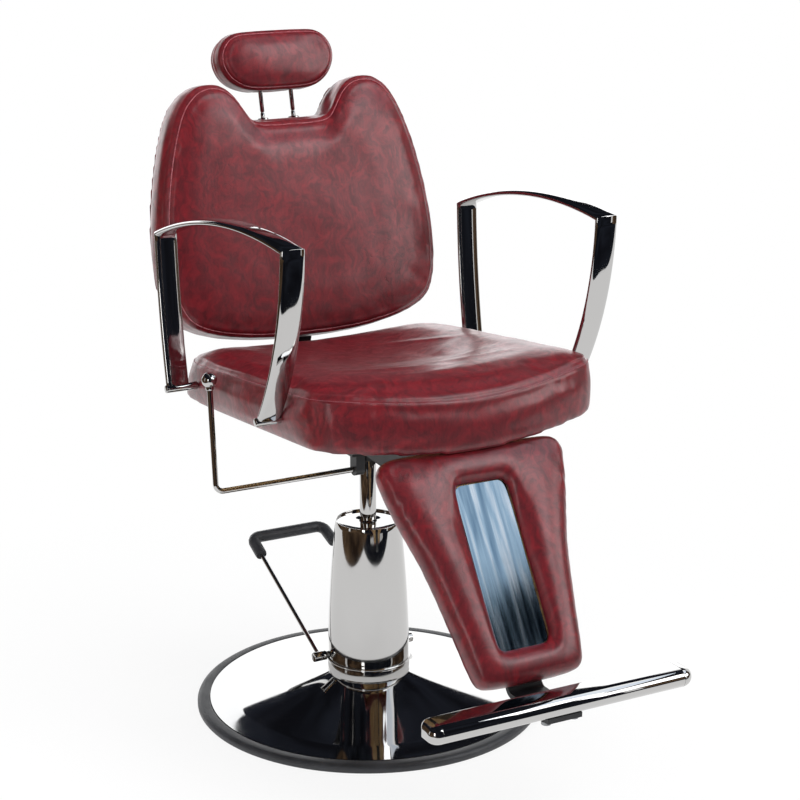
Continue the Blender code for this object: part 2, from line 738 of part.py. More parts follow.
def make_carrier():
    outline = cheek_outline()
    cheek = prism(outline, None, -CHEEK_X, -CHEEK_X + CHEEK_THICKNESS)
    carrier = piece("seat_carrier", cheek, "black_steel")
    other = prism(outline, None, CHEEK_X - CHEEK_THICKNESS, CHEEK_X)
    top = RAIL_LOW - GAP
    reach = CHEEK_X - CHEEK_THICKNESS / 2
    web = box(SEAT, (-reach, reach), (-WEB_BACK + 0.002, WEB_FRONT - 0.002), (top - WEB_THICKNESS, top - GAP))
    combined(carrier, web, "UNION")
    combined(carrier, other, "UNION")
    for y, z in (BACK_HINGE, LEG_HINGE):
        hole = crosswise(PIN_RADIUS + RUN, -CHEEK_X - 0.01, CHEEK_X + 0.01, y, z)
        combined(carrier, hole, "DIFFERENCE")
    for name, (y, z) in (("back_hinge_pin", BACK_HINGE), ("legrest_hinge_pin", LEG_HINGE)):
        inner, outer = CHEEK_X + GAP, CHEEK_X + GAP + PIN_HEAD
        wide = PIN_RADIUS * 1.6
        spool = [(0.0, -outer), (wide, -outer), (wide, -inner), (PIN_RADIUS, -inner)]
        spool += [(radius, -height) for radius, height in reversed(spool)]
        piece(name, turned(spool, MEDIUM, (0.0, y, z), TO_X), "grey_steel")


def make_hub():
    plate_top = HUB_PLATE_BOTTOM + HUB_PLATE_THICKNESS
    corners = [
        (-HUB_PLATE_Y, HUB_PLATE_BOTTOM),
        (HUB_PLATE_Y, HUB_PLATE_BOTTOM),
        (HUB_PLATE_Y, plate_top),
        (-HUB_PLATE_Y, plate_top),
    ]
    hub = piece("swivel_hub", prism(corners, None, -HUB_PLATE_X, HUB_PLATE_X), "black_steel")
    socket = [
        (HUB_RADIUS, HUB_BOTTOM),
        (HUB_RADIUS, HUB_PLATE_BOTTOM + 0.002),
        (0.0, HUB_PLATE_BOTTOM + 0.002),
        (0.0, PISTON_TOP + GAP),
        (PISTON_RADIUS + RUN, PISTON_TOP + GAP),
        (PISTON_RADIUS + RUN, HUB_BOTTOM),
    ]
    combined(hub, turned(socket, MEDIUM), "UNION")


def arm_feet():
    """(side, x, y, z) of the point where each arm's foot meets the seat."""
    feet = []
    for side in (-1, 1):
        feet.append((side, side * ARM_FRONT_X, *ARM_FRONT_FOOT))
        feet.append((side, side * ARM_BACK_X, *ARM_BACK_FOOT))
    return feet


def arm_x(side, y):
    """The arms spread a little towards the back."""
    share = (y - ARM_FRONT_FOOT[0]) / (ARM_BACK_FOOT[0] - ARM_FRONT_FOOT[0])
    return side * (ARM_FRONT_X + (ARM_BACK_X - ARM_FRONT_X) * share)


def arm_path():
    """The tube's centre line in the YZ plane, and where it is mitred."""
    front = arc_through(ARM_FRONT_FOOT, ARM_FRONT_MID, ARM_FRONT_TOP, 7)
    arch = arc_through(ARM_FRONT_TOP, ARM_ARCH_MID, ARM_BACK_TOP, 10)
    back = arc_through(ARM_BACK_TOP, ARM_BACK_MID, ARM_BACK_FOOT, 7)
    return front + arch[1:] + back[1:]


def flat_oval(width, thickness, steps=3):
    """Section of a flat-sided tube with round edges, as (across, through) points."""
    radius = thickness / 2
    points = []
    for side, start in ((1, -90), (-1, 90)):
        for k in range(steps + 1):
            angle = math.radians(start + 180 * k / steps)
            across = side * (width / 2 - radius) + radius * math.cos(angle)
            points.append((across, radius * math.sin(angle)))
    return points


def make_arm(side, name):
    path = [Vector(point) for point in arm_path()]
    section = flat_oval(ARM_WIDTH, ARM_THICKNESS)
    rings = []
    for i, point in enumerate(path):
        before = (point - path[i - 1]).normalized() if i else (path[1] - point).normalized()
        after = (path[i + 1] - point).normalized() if i < len(path) - 1 else before
        mean = (before + after).normalized()
        stretch = 1 / max(0.3, mean.dot(before))
        across = Vector((-mean.y, mean.x)) * stretch
        ring = []
        for width, through in section:
            spot = point + across * through
            ring.append(Vector((arm_x(side, point.x) + width, spot.x, spot.y)))
        rings.append(ring)
    arm = piece(f"arm_{name}", skinned(rings), "chrome")
    for foot_side, x, y, z in arm_feet():
        if foot_side != side:
            continue
        place = "front" if y < 0 else "back"
        inner = seat_half_width(SEAT.local(y, z)[0]) + GAP
        outer = abs(x) + ARM_WIDTH / 2 + 0.002
        boss = crosswise(ARM_BOSS_RADIUS, *sorted((side * inner, side * outer)), y, z)
        combined(arm, boss, "UNION")
        reach = (RAIL_OUTER + RAIL_OUTER - RAIL_WIDTH) / 2
        into = abs(x)
        bore = sorted((side * (reach - 0.01), side * (into + RUN)))
        hole = crosswise(ARM_STUD_RADIUS + RUN, *bore, y, z, steps=COARSE)
        combined(arm, hole, "DIFFERENCE")
        stud = crosswise(ARM_STUD_RADIUS, *sorted((side * reach, side * into)), y, z, steps=COARSE)
        piece(f"arm_stud_{place}_{name}", stud, "grey_steel")


# ---- Recline lever ----


def make_recline_lever():
    low = LEVER_Z - 0.0105
    top = HUB_PLATE_BOTTOM - GAP
    outline = [(LEVER_Y + 0.0115, top), (LEVER_Y - 0.0115, top)]
    for k in range(9):
        angle = math.radians(180 + 180 * k / 8)
        outline.append((LEVER_Y + 0.0115 * math.cos(angle), LEVER_Z + (LEVER_Z - low) * math.sin(angle)))
    bracket = prism(outline, None, LEVER_BRACKET_X, LEVER_BRACKET_X + LEVER_BRACKET_WIDTH)
    bracket = piece("lever_bracket", bracket, "black_steel")
    hole = crosswise(LEVER_RADIUS + RUN, LEVER_BRACKET_X - 0.01, 0.0, LEVER_Y, LEVER_Z)
    combined(bracket, hole, "DIFFERENCE")
    ball = Vector((LEVER_X, BALL_Y, BALL_Z))
    corner = Vector((LEVER_X, LEVER_Y, LEVER_Z))
    inner = Vector((LEVER_BRACKET_X + LEVER_BRACKET_WIDTH, LEVER_Y, LEVER_Z))
    tip = ball - (ball - corner).normalized() * (BALL_RADIUS - 0.004)
    path = rounded_path([inner, corner, tip], LEVER_BEND)
    piece("recline_lever", skinned(swept(path, LEVER_RADIUS, COARSE)), "chrome")
    mesh = bmesh.new()
    bmesh.ops.create_uvsphere(mesh, u_segments=16, v_segments=10, radius=BALL_RADIUS)
    bmesh.ops.translate(mesh, vec=ball, verts=mesh.verts)
    knob = piece("lever_ball", mesh, "chrome")
    socket = swept([tip + (tip - corner).normalized() * GAP, corner.lerp(tip, 0.8)], LEVER_RADIUS + RUN, COARSE)
    combined(knob, skinned(socket), "DIFFERENCE")


# ---- Backrest ----

BACK_CENTRE = (0.0, BACK_HEIGHT * 0.41)


def back_outline():
    """Front view of the backrest: full shoulders either side of a notch for the headrest."""
    half = [
        (0.0, -BACK_HEEL),
        (BACK_HALF_WIDTH * 0.3095, -BACK_HEEL * 0.9512),
        (BACK_HALF_WIDTH * 0.6383, -BACK_HEEL * 0.6585),
        (BACK_HALF_WIDTH * 0.8588, -BACK_HEEL * 0.1463),
        (BACK_HALF_WIDTH * 0.9555, BACK_HEIGHT * 0.0622),
        (BACK_HALF_WIDTH, BACK_HEIGHT * 0.199),
        (BACK_HALF_WIDTH * 0.9942, BACK_HEIGHT * 0.4229),
        (BACK_HALF_WIDTH * 0.94, BACK_HEIGHT * 0.6343),
        (BACK_HALF_WIDTH * 0.8588, BACK_HEIGHT * 0.8209),
        (BACK_HALF_WIDTH * 0.7737, BACK_HEIGHT * 0.9353),
        (BACK_HALF_WIDTH * 0.6499, BACK_HEIGHT),
        (BACK_HALF_WIDTH * 0.5029, BACK_HEIGHT),
        (BACK_HALF_WIDTH * 0.4023, BACK_HEIGHT - BACK_NOTCH * 0.284),
        (BACK_HALF_WIDTH * 0.3327, BACK_HEIGHT - BACK_NOTCH * 0.716),
        (BACK_HALF_WIDTH * 0.2785, BACK_HEIGHT - BACK_NOTCH * 0.94),
        (BACK_HALF_WIDTH * 0.1547, BACK_HEIGHT - BACK_NOTCH),
        (0.0, BACK_HEIGHT - BACK_NOTCH),
    ]
    return smooth_outline(half, 2)


def make_back_cushion():
    outline = back_outline()
    rings = []
    for share in (0.04, 0.35, 0.62, 0.80, 0.91, 0.97, 1.0):
        depth = -BACK_CROWN * (1 - share**7)
        rings.append([BACK.at(x, along, depth) for x, along in shrunk(outline, share, BACK_CENTRE)])
    skirt_end = BACK_DEPTH - BACK_PANEL_THICKNESS - GAP
    for depth, bulge in ((0.30, 0.003), (0.62, 0.003), (0.9, 0.0)):
        ring = grown(outline, bulge)
        rings.append([BACK.at(x, along, skirt_end * depth) for x, along in ring])
    rings.append([BACK.at(x, along, skirt_end) for x, along in grown(outline, -0.005)])
    pocket = grown(outline, -BACK_SKIN)
    rings.append([BACK.at(x, along, skirt_end) for x, along in pocket])
    rings.append([BACK.at(x, along, BACK_BOARD_DEPTH) for x, along in pocket])
    cushion = piece("back_cushion", skinned(rings), "oxblood_leather")
    for side in (-1, 1):
        combined(cushion, post_bore(side, GUIDE_RADIUS + GAP, GUIDE_BOTTOM, BACK_HEIGHT), "DIFFERENCE")
    half = BACK_BAR_WIDTH / 2 + GAP
    slot_depth = (BACK_BOARD_DEPTH + BACK_BOARD_THICKNESS, BACK_DEPTH)
    slot = box(BACK, (-half, half), (-BACK_HEEL * 2, BACK_HEEL * 0.5), slot_depth)
    combined(cushion, slot, "DIFFERENCE")


def post_bore(side, radius, low, high, bore=0.0, steps=COARSE):
    """A round rod or tube along a headrest post."""
    profile = rod_profile(radius, 0.0, high - low, bore)
    return turned(profile, steps, BACK.at(side * POST_X, low, POST_DEPTH), TO_BACK)


def make_back_structure():
    outline = back_outline()
    board = grown(outline, -BACK_SKIN - 0.002)
    low = BACK_BOARD_DEPTH + GAP
    piece("back_board", layer(board, BACK, low, low + BACK_BOARD_THICKNESS), "plywood", False)
    rings = []
    for depth, inset in ((0.0, 0.002), (0.5, 0.001), (0.8, 0.003), (1.0, 0.008)):
        level = BACK_DEPTH - BACK_PANEL_THICKNESS * (1 - depth)
        rings.append([BACK.at(x, along, level) for x, along in grown(outline, -inset)])
    rings.append([BACK.at(x, along, BACK_DEPTH + 0.003) for x, along in shrunk(outline, 0.6, BACK_CENTRE)])
    piece("back_panel", skinned(rings), "oxblood_leather")
    for side, name in ((-1, "right"), (1, "left")):
        bore = POST_RADIUS + RUN
        guide = post_bore(side, GUIDE_RADIUS, GUIDE_BOTTOM, COLLAR_SEAT, bore)
        piece(f"post_guide_{name}", guide, "grey_steel")
        low = COLLAR_SEAT + GAP
        ferrule = post_bore(side, FERRULE_RADIUS, low, low + FERRULE_HEIGHT, bore, MEDIUM)
        piece(f"post_ferrule_{name}", ferrule, "chrome")


def bar_outline():
    """Side view of the steel bar from the hinge, round the back of the seat, up into the backrest."""
    centre_depth = BACK_BOARD_DEPTH + GAP + BACK_BOARD_THICKNESS + GAP + BACK_BAR_THICKNESS / 2
    y, z = BACK_HINGE
    top = BACK.at(0.0, BACK_BAR_TOP, centre_depth)
    enter = BACK.at(0.0, -BACK_HEEL - BAR_CLEAR, centre_depth)
    behind = y + BAR_REACH
    corners = [(0.0, y, z), (0.0, behind, z - 0.001), (0.0, behind - 0.0005, z + BAR_RISE), enter, top]
    line = rounded_path(corners, 0.012, 3)
    left, right = [], []
    for i, point in enumerate(line):
        before = line[i - 1] if i else point
        after = line[i + 1] if i < len(line) - 1 else point
        run = (after - before).normalized()
        across = Vector((0.0, -run.z, run.y)) * (BACK_BAR_THICKNESS / 2)
        left.append(tuple((point + across).yz))
        right.append(tuple((point - across).yz))
    return left + right[::-1]


def crank_outline(hinge):
    """Side view of a crank arm: a bar with round ends from a hinge to its link pin."""
    start = Vector(hinge)
    end = start + CRANK
    run = CRANK.normalized()
    outline = []
    for centre, turn_from, radius in ((start, 90, KNUCKLE_RADIUS), (end, -90, LINK_HALF_HEIGHT)):
        for k in range(9):
            angle = math.radians(turn_from + 180 * k / 8) + math.atan2(run.y, run.x)
            outline.append((centre.x + radius * math.cos(angle), centre.y + radius * math.sin(angle)))
    return outline


def add_crank(obj, hinge):
    """Adds a crank arm with its link pin to a hinged bar."""
    combined(obj, prism(crank_outline(hinge), None, CRANK_X, CRANK_X + CRANK_THICKNESS), "UNION")
    y, z = Vector(hinge) + CRANK
    pin = crosswise(CRANK_PIN_RADIUS, CRANK_X + 0.001, LINK_X + LINK_THICKNESS + 0.004, y, z, steps=COARSE)
    combined(obj, pin, "UNION")


def make_back_bar():
    half = BACK_BAR_WIDTH / 2
    bar = piece("back_bar", prism(bar_outline(), None, -half, half), "black_steel")
    y, z = BACK_HINGE
    knuckle = crosswise(KNUCKLE_RADIUS, -half, CRANK_X + CRANK_THICKNESS - 0.0005, y, z)
    combined(bar, knuckle, "UNION")
    add_crank(bar, BACK_HINGE)
    combined(bar, crosswise(PIN_RADIUS + RUN, -0.06, 0.06, y, z), "DIFFERENCE")


def make_link():
    ends = [Vector(BACK_HINGE) + CRANK, Vector(LEG_HINGE) + CRANK]
    run = (ends[1] - ends[0]).normalized()
    outline = []
    for centre, turn_from in ((ends[0], 90), (ends[1], -90)):
        for k in range(9):
            angle = math.radians(turn_from + 180 * k / 8) + math.atan2(run.y, run.x)
            offset = Vector((math.cos(angle), math.sin(angle))) * LINK_HALF_HEIGHT
            outline.append(tuple(centre + offset))
    link = piece("link_bar", prism(outline, None, LINK_X, LINK_X + LINK_THICKNESS), "black_steel")
    for y, z in ends:
        hole = crosswise(CRANK_PIN_RADIUS + RUN, LINK_X - 0.01, LINK_X + 0.02, y, z, steps=COARSE)
        combined(link, hole, "DIFFERENCE")


# ---- Headrest ----


def head_outline():
    half = [
        (0.0, HEAD_HALF_HEIGHT),
        (HEAD_HALF_WIDTH * 0.4306, HEAD_HALF_HEIGHT * 0.9891),
        (HEAD_HALF_WIDTH * 0.7464, HEAD_HALF_HEIGHT * 0.9239),
        (HEAD_HALF_WIDTH * 0.9378, HEAD_HALF_HEIGHT * 0.587),
        (HEAD_HALF_WIDTH, HEAD_HALF_HEIGHT * 0.1087),
        (HEAD_HALF_WIDTH * 0.9282, -HEAD_HALF_HEIGHT * 0.3913),
        (HEAD_HALF_WIDTH * 0.756, -HEAD_HALF_HEIGHT * 0.7609),
        (HEAD_HALF_WIDTH * 0.4976, -HEAD_HALF_HEIGHT * 0.9565),
        (0.0, -HEAD_HALF_HEIGHT),
    ]
    return smooth_outline(half, 3)


def make_headrest():
    outline = [(x, HEAD_CENTRE + along) for x, along in head_outline()]
    centre = (0.0, HEAD_CENTRE)
    half = HEAD_THICKNESS / 2
    rings = []
    for share in (0.05, 0.45, 0.75, 0.92, 1.0):
        depth = POST_DEPTH - half + HEAD_CROWN * share**4
        rings.append([BACK.at(x, along, depth) for x, along in shrunk(outline, share, centre)])
    for depth, bulge in ((-0.35, 0.004), (0.25, 0.004), (0.70, 0.0)):
        ring = grown(outline, bulge)
        rings.append([BACK.at(x, along, POST_DEPTH + half * depth) for x, along in ring])
    for share in (0.90, 0.70, 0.30):
        depth = POST_DEPTH + half - HEAD_CROWN * 0.5 * share**2
        rings.append([BACK.at(x, along, depth) for x, along in shrunk(outline, share, centre)])
    pad = piece("headrest_pad", skinned(rings), "oxblood_leather")
    front = POST_DEPTH - POST_RADIUS - GAP
    slot_x = HEAD_PLATE_X + GAP
    slot_along = (HEAD_CENTRE - HEAD_HALF_HEIGHT - HEAD_SLOT_MOUTH, POST_TOP + 2 * GAP)
    slot_out = (front - HEAD_PLATE_THICKNESS - GAP, POST_DEPTH + POST_RADIUS + GAP)
    slot = box(BACK, (-slot_x, slot_x), slot_along, slot_out)
    combined(pad, slot, "DIFFERENCE")
    plate_along = (HEAD_CENTRE - HEAD_HALF_HEIGHT * 0.65, POST_TOP)
    plate_out = (front - HEAD_PLATE_THICKNESS, front)
    plate = box(BACK, (-HEAD_PLATE_X, HEAD_PLATE_X), plate_along, plate_out)
    piece("headrest_plate", plate, "grey_steel", False)
    for side, name in ((-1, "right"), (1, "left")):
        profile = [(POST_RADIUS - NOTCH_DEPTH, POST_BOTTOM), (POST_RADIUS, POST_BOTTOM + NOTCH_DEPTH)]
        for k in range(NOTCH_COUNT):
            level = NOTCH_FIRST + NOTCH_PITCH * k
            profile += [
                (POST_RADIUS, level - 0.0015),
                (POST_RADIUS - NOTCH_DEPTH, level - 0.0007),
                (POST_RADIUS - NOTCH_DEPTH, level + 0.0007),
                (POST_RADIUS, level + 0.0015),
            ]
        profile += [(POST_RADIUS, POST_TOP), (0.0, POST_TOP), (0.0, POST_BOTTOM)]
        post = turned(profile, COARSE, BACK.at(side * POST_X, 0.0, POST_DEPTH), TO_BACK)
        piece(f"headrest_post_{name}", post, "chrome")


# ---- Legrest and footrest ----

LEG_CENTRE = (0.0, WINDOW_START + WINDOW_LENGTH / 2)


def leg_outline():
    """Front view of the legrest: wide under the seat and tapering to the footrest."""
    half = [
        (0.0, -LEG_TUCK),
        (LEG_HALF_WIDTH * 0.7358, -LEG_TUCK),
        (LEG_HALF_WIDTH * 0.9231, -LEG_TUCK * 0.96),
        (LEG_HALF_WIDTH * 0.9967, -LEG_TUCK * 0.78),
        (LEG_HALF_WIDTH, -LEG_TUCK * 0.3),
        (LEG_HALF_WIDTH * 0.9431, LEG_LENGTH * 0.1276),
        (LEG_HALF_WIDTH * 0.8395, LEG_LENGTH * 0.3509),
        (LEG_HALF_WIDTH * 0.7458, LEG_LENGTH * 0.5742),
        (LEG_HALF_WIDTH * 0.6722, LEG_LENGTH * 0.7815),
        (LEG_HALF_WIDTH * 0.6221, LEG_LENGTH * 0.925),
        (LEG_HALF_WIDTH * 0.5518, LEG_LENGTH * 0.9856),
        (LEG_HALF_WIDTH * 0.301, LEG_LENGTH * 0.9984),
        (0.0, LEG_LENGTH),
    ]
    return smooth_outline(half, 2)


def window_corners(margin):
    """The window's outline with round corners, as points to be joined by straight lines."""
    half_x = WINDOW_HALF_WIDTH + margin
    half_s = WINDOW_LENGTH / 2 + margin
    corner = WINDOW_CORNER + margin
    outline = []
    for x_side, s_side, start in ((1, 1, 0), (-1, 1, 90), (-1, -1, 180), (1, -1, 270)):
        for k in range(5):
            angle = math.radians(start + 90 * k / 4)
            x = x_side * (half_x - corner) + corner * math.cos(angle)
            along = s_side * (half_s - corner) + corner * math.sin(angle)
            outline.append((x, LEG_CENTRE[1] + along))
    return outline


def angles_of(outline):
    """The direction of each point of an outline, seen from the middle of the window."""
    return [math.atan2(along - LEG_CENTRE[1], x) for x, along in outline]


def along_rays(outline, angles):
    """Where rays from the middle of the window, one for each angle, meet an outline."""
    met = []
    for angle in angles:
        ray = Vector((math.cos(angle), math.sin(angle)))
        for a, b in zip(outline, outline[1:] + outline[:1]):
            start = Vector(a) - Vector(LEG_CENTRE)
            edge = Vector(b) - Vector(a)
            slant = ray.x * edge.y - ray.y * edge.x
            if abs(slant) < 1e-9:
                continue
            reach = (start.x * edge.y - start.y * edge.x) / slant
            share = (start.x * ray.y - start.y * ray.x) / slant
            if reach > 0 and -1e-4 <= share <= 1 + 1e-4:
                met.append((ray.x * reach, LEG_CENTRE[1] + ray.y * reach))
                break
    return met


def blended(first, second, share):
    """An outline part of the way from one outline to another."""
    return [tuple(Vector(a).lerp(Vector(b), share)) for a, b in zip(first, second)]


def make_legrest():
    angles = sorted(angles_of(leg_outline()) + angles_of(window_corners(0.0)))
    outline = along_rays(leg_outline(), angles)
    window = along_rays(window_corners(0.0), angles)
    board_front = -INSERT_THICKNESS - 2 * GAP
    rings = [[LEG.at(x, along, board_front + GAP) for x, along in window]]
    rings.append([LEG.at(x, along, 0.001) for x, along in window])
    for share, height in ((0.10, 0.009), (0.28, 0.017), (0.52, 0.018), (0.80, 0.014), (0.95, 0.008)):
        rings.append([LEG.at(x, along, height) for x, along in blended(window, outline, share)])
    rings.append([LEG.at(x, along, 0.002) for x, along in outline])
    rings.append([LEG.at(x, along, -LEG_BACK * 0.5) for x, along in grown(outline, 0.001)])
    rings.append([LEG.at(x, along, -LEG_BACK) for x, along in grown(outline, -0.003)])
    pocket = grown(outline, -LEG_SKIN)
    rings.append([LEG.at(x, along, -LEG_BACK) for x, along in pocket])
    rings.append([LEG.at(x, along, board_front + GAP) for x, along in pocket])
    piece("legrest_pad", skinned(rings, closed=True), "oxblood_leather")
    board = grown(leg_outline(), -LEG_SKIN - 0.002)
    piece("legrest_board", layer(board, LEG, -LEG_BACK + GAP, board_front), "plywood", False)
    insert = window_corners(-2 * GAP)
    piece("legrest_insert", layer(insert, LEG, board_front + GAP, -GAP), "brushed_steel", False)


def strut_outline():
    """Side view of the flat strut: down behind the legrest, then forward under the footrest bar."""
    centre = -LEG_BACK - GAP - STRUT_THICKNESS / 2
    foot_z = FOOT_Z - FOOT_HEIGHT / 2 - GAP - STRUT_THICKNESS / 2
    top = LEG.at(0.0, LEG_HINGE_ALONG - STRUT_TOP, centre)
    run_end = LEG.at(0.0, 1.0, centre)
    share = (foot_z - top.z) / (run_end.z - top.z)
    corner = top.lerp(run_end, share)
    tip = Vector((0.0, FOOT_Y - FOOT_DEPTH * 0.30, foot_z))
    line = rounded_path([top, corner, tip], 0.014, 4)
    left, right = [], []
    for i, point in enumerate(line):
        before = line[i - 1] if i else point
        after = line[i + 1] if i < len(line) - 1 else point
        run = (after - before).normalized()
        across = Vector((0.0, -run.z, run.y)) * (STRUT_THICKNESS / 2)
        left.append(tuple((point + across).yz))
        right.append(tuple((point - across).yz))
    return left + right[::-1]


def make_strut():
    half = STRUT_WIDTH / 2
    strut = piece("legrest_strut", prism(strut_outline(), None, -half, half), "black_steel")
    y, z = LEG_HINGE
    combined(strut, crosswise(KNUCKLE_RADIUS, -half, half - 0.0005, y, z), "UNION")
    add_crank(strut, LEG_HINGE)
    combined(strut, crosswise(PIN_RADIUS + RUN, -0.06, 0.06, y, z), "DIFFERENCE")
    for side in (-1, 1):
        profile = rod_profile(FOOT_BOLT_RADIUS + RUN, FOOT_Z - 0.05, FOOT_Z)
        bore = turned(profile, COARSE, (side * FOOT_BOLT_X, FOOT_Y, 0.0))
        combined(strut, bore, "DIFFERENCE")


def foot_section():
    """End view of the footrest bar: flat on top, half-round in front, small corners behind."""
    half_y, half_z = FOOT_DEPTH / 2, FOOT_HEIGHT / 2
    points = []
    for k in range(9):
        angle = math.radians(90 + 180 * k / 8)
        points.append((-half_y + half_z + half_z * math.cos(angle), half_z * math.sin(angle)))
    inset = FOOT_BACK_RADIUS
    for side, start in ((-1, 270), (1, 0)):
        for k in range(4):
            angle = math.radians(start + 90 * k / 3)
            y = half_y - inset + inset * math.cos(angle)
            points.append((y, side * (half_z - inset) + inset * math.sin(angle)))
    return [(FOOT_Y + y, FOOT_Z + z) for y, z in points]


def make_footrest():
    section = foot_section()
    bar = piece("footrest_bar", prism(section, None, -FOOT_HALF_LENGTH, FOOT_HALF_LENGTH), "chrome")
    foot_top = FOOT_Z - FOOT_HEIGHT / 2
    plate_bottom = foot_top - GAP - STRUT_THICKNESS
    for side, name in ((-1, "right"), (1, "left")):
        start = FOOT_HALF_LENGTH + GAP
        rings = []
        for share in (0.0, 0.35, 0.7, 0.9, 1.0):
            reach = side * (start + FOOT_CAP * share)
            size = math.sqrt(max(0.12, 1 - share**2 * 0.9))
            ring = [(FOOT_Y + (y - FOOT_Y) * size, FOOT_Z + (z - FOOT_Z) * size) for y, z in section]
            rings.append([Vector((reach, y, z)) for y, z in ring])
        piece(f"footrest_cap_{name}", skinned(rings), "chrome")
        x = side * FOOT_BOLT_X
        profile = rod_profile(FOOT_BOLT_RADIUS + RUN, FOOT_Z - FOOT_HEIGHT, foot_top + 0.012)
        bore = turned(profile, COARSE, (x, FOOT_Y, 0.0))
        combined(bar, bore, "DIFFERENCE")
        head = plate_bottom - GAP
        bolt = [
            (0.0, head - 0.005),
            (0.0075, head - 0.005),
            (0.0075, head),
            (0.004, head),
            (0.004, foot_top + 0.010),
            (0.0, foot_top + 0.010),
        ]
        piece(f"footrest_bolt_{name}", turned(bolt, COARSE, (x, FOOT_Y, 0.0)), "grey_steel")


# ---- Joints: an empty on each axis carries the pieces that move about it ----


def hung(name, parent, pivot, pieces):
    """An empty on a joint's axis, under its parent's, with the pieces that it carries."""
    axis = bpy.data.objects.new(name, None)
    axis.empty_display_size = 0.05
    bpy.context.scene.collection.objects.link(axis)
    axis.parent = parent
    axis.location = Vector(pivot) - (parent.matrix_world.translation if parent else Vector())
    bpy.context.view_layer.update()
    for piece_name in pieces:
        obj = bpy.data.objects[piece_name]
        obj.data.transform(Matrix.Translation(-Vector(pivot)))
        obj.parent = axis
    return axis


def both(*names):
    """Each name for the right-hand and the left-hand piece."""
    return [f"{name}_{side}" for name in names for side in ("right", "left")]


def hang_pieces():
    hung(
        "pump_lever_axis",
        None,
        (0.0, SHAFT_Y, SHAFT_Z),
        ["lever_shaft", "lever_bail", "lever_grip", *both("lever_boss")],
    )
    lift = hung("lift_axis", None, (0.0, 0.0, CYLINDER_TOP), ["piston_rod"])
    frame = ["swivel_hub", "seat_carrier", "back_hinge_pin", "legrest_hinge_pin", "lever_bracket"]
    wood = ["seat_panel", "seat_crossrail_back", "seat_crossrail_front", *both("seat_rail")]
    arms = both("arm", "arm_stud_front", "arm_stud_back")
    seat = hung("seat_axis", lift, (0.0, 0.0, HUB_BOTTOM), frame + wood + ["seat_cushion"] + arms)
    hung("recline_lever_axis", seat, (0.0, LEVER_Y, LEVER_Z), ["recline_lever", "lever_ball"])
    back = hung(
        "backrest_axis",
        seat,
        (0.0, *BACK_HINGE),
        ["back_cushion", "back_board", "back_panel", "back_bar", *both("post_guide", "post_ferrule")],
    )
    hung("link_axis", back, (0.0, *(Vector(BACK_HINGE) + CRANK)), ["link_bar"])
    head = ["headrest_plate", "headrest_pad", *both("headrest_post")]
    hung("headrest_axis", back, BACK.at(0.0, COLLAR_SEAT, POST_DEPTH), head)
    foot = ["footrest_bar", *both("footrest_cap", "footrest_bolt")]
    leg = ["legrest_pad", "legrest_board", "legrest_insert", "legrest_strut"]
    hung("legrest_axis", seat, (0.0, *LEG_HINGE), leg + foot)


def build():
    clear_scene()
    make_base()
    make_column()
    make_pump_lever()
    make_hub()
    make_carrier()
    make_seat_frame()
    make_seat_cushion()
    for side, name in ((-1, "right"), (1, "left")):
        make_arm(side, name)
    make_recline_lever()
    make_back_cushion()
    make_back_structure()
    make_back_bar()
    make_link()
    make_headrest()
    make_legrest()
    make_strut()
    make_footrest()
    hang_pieces()


build()
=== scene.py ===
"""A hydraulic barber's chair, dressed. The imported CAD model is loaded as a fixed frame, and finished
metal, rubber and upholstery are set on it piece by piece, from the floor up. Metres, +Z up, and the
chair faces -Y."""

import math

import bmesh
import bpy
from mathutils import Matrix, Vector, kdtree, noise


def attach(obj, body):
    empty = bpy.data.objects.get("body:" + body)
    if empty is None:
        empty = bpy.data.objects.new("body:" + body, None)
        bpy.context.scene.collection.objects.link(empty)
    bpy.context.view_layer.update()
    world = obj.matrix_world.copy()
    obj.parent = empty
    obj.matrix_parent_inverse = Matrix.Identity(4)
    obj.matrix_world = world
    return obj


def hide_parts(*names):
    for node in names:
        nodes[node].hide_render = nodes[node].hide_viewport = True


scene = bpy.context.scene
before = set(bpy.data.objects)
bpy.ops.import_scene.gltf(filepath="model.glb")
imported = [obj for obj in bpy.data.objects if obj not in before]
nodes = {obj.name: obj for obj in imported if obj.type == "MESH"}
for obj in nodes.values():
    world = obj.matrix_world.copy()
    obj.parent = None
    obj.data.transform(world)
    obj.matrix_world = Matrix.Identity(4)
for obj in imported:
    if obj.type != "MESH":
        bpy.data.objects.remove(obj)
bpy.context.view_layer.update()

# ---- Camera ----
# It stands in front of the chair, to the sitter's right, a little over the height of the backrest,
# and looks slightly down.
CAMERA_PLACE = Vector((-1.51065, -2.91805, 1.48733))
CAMERA_AIM = Vector((0.45607, 0.84608, -0.27596))
CAMERA_LENS = 91.15

camera = bpy.data.objects.new("studio_camera", bpy.data.cameras.new("studio_camera"))
scene.collection.objects.link(camera)
camera.data.lens = CAMERA_LENS
camera.location = CAMERA_PLACE
camera.rotation_euler = CAMERA_AIM.to_track_quat("-Z", "Y").to_euler()
scene.camera = camera
scene.view_settings.view_transform = "Standard"


# ---- Studio: floor, room, drapes, cards and lamps ----
# A white floor and room with soft lamps. Dark drapes and bright cards stand round it as in a
# photographer's studio, and only polished metal and gloss see them.


def colour(code):
    """A hex colour, as the eye reads it, in the linear values that a shader takes."""
    levels = [int(code[i : i + 2], 16) / 255 for i in (1, 3, 5)]
    return (*(v / 12.92 if v <= 0.04045 else ((v + 0.055) / 1.055) ** 2.4 for v in levels), 1.0)


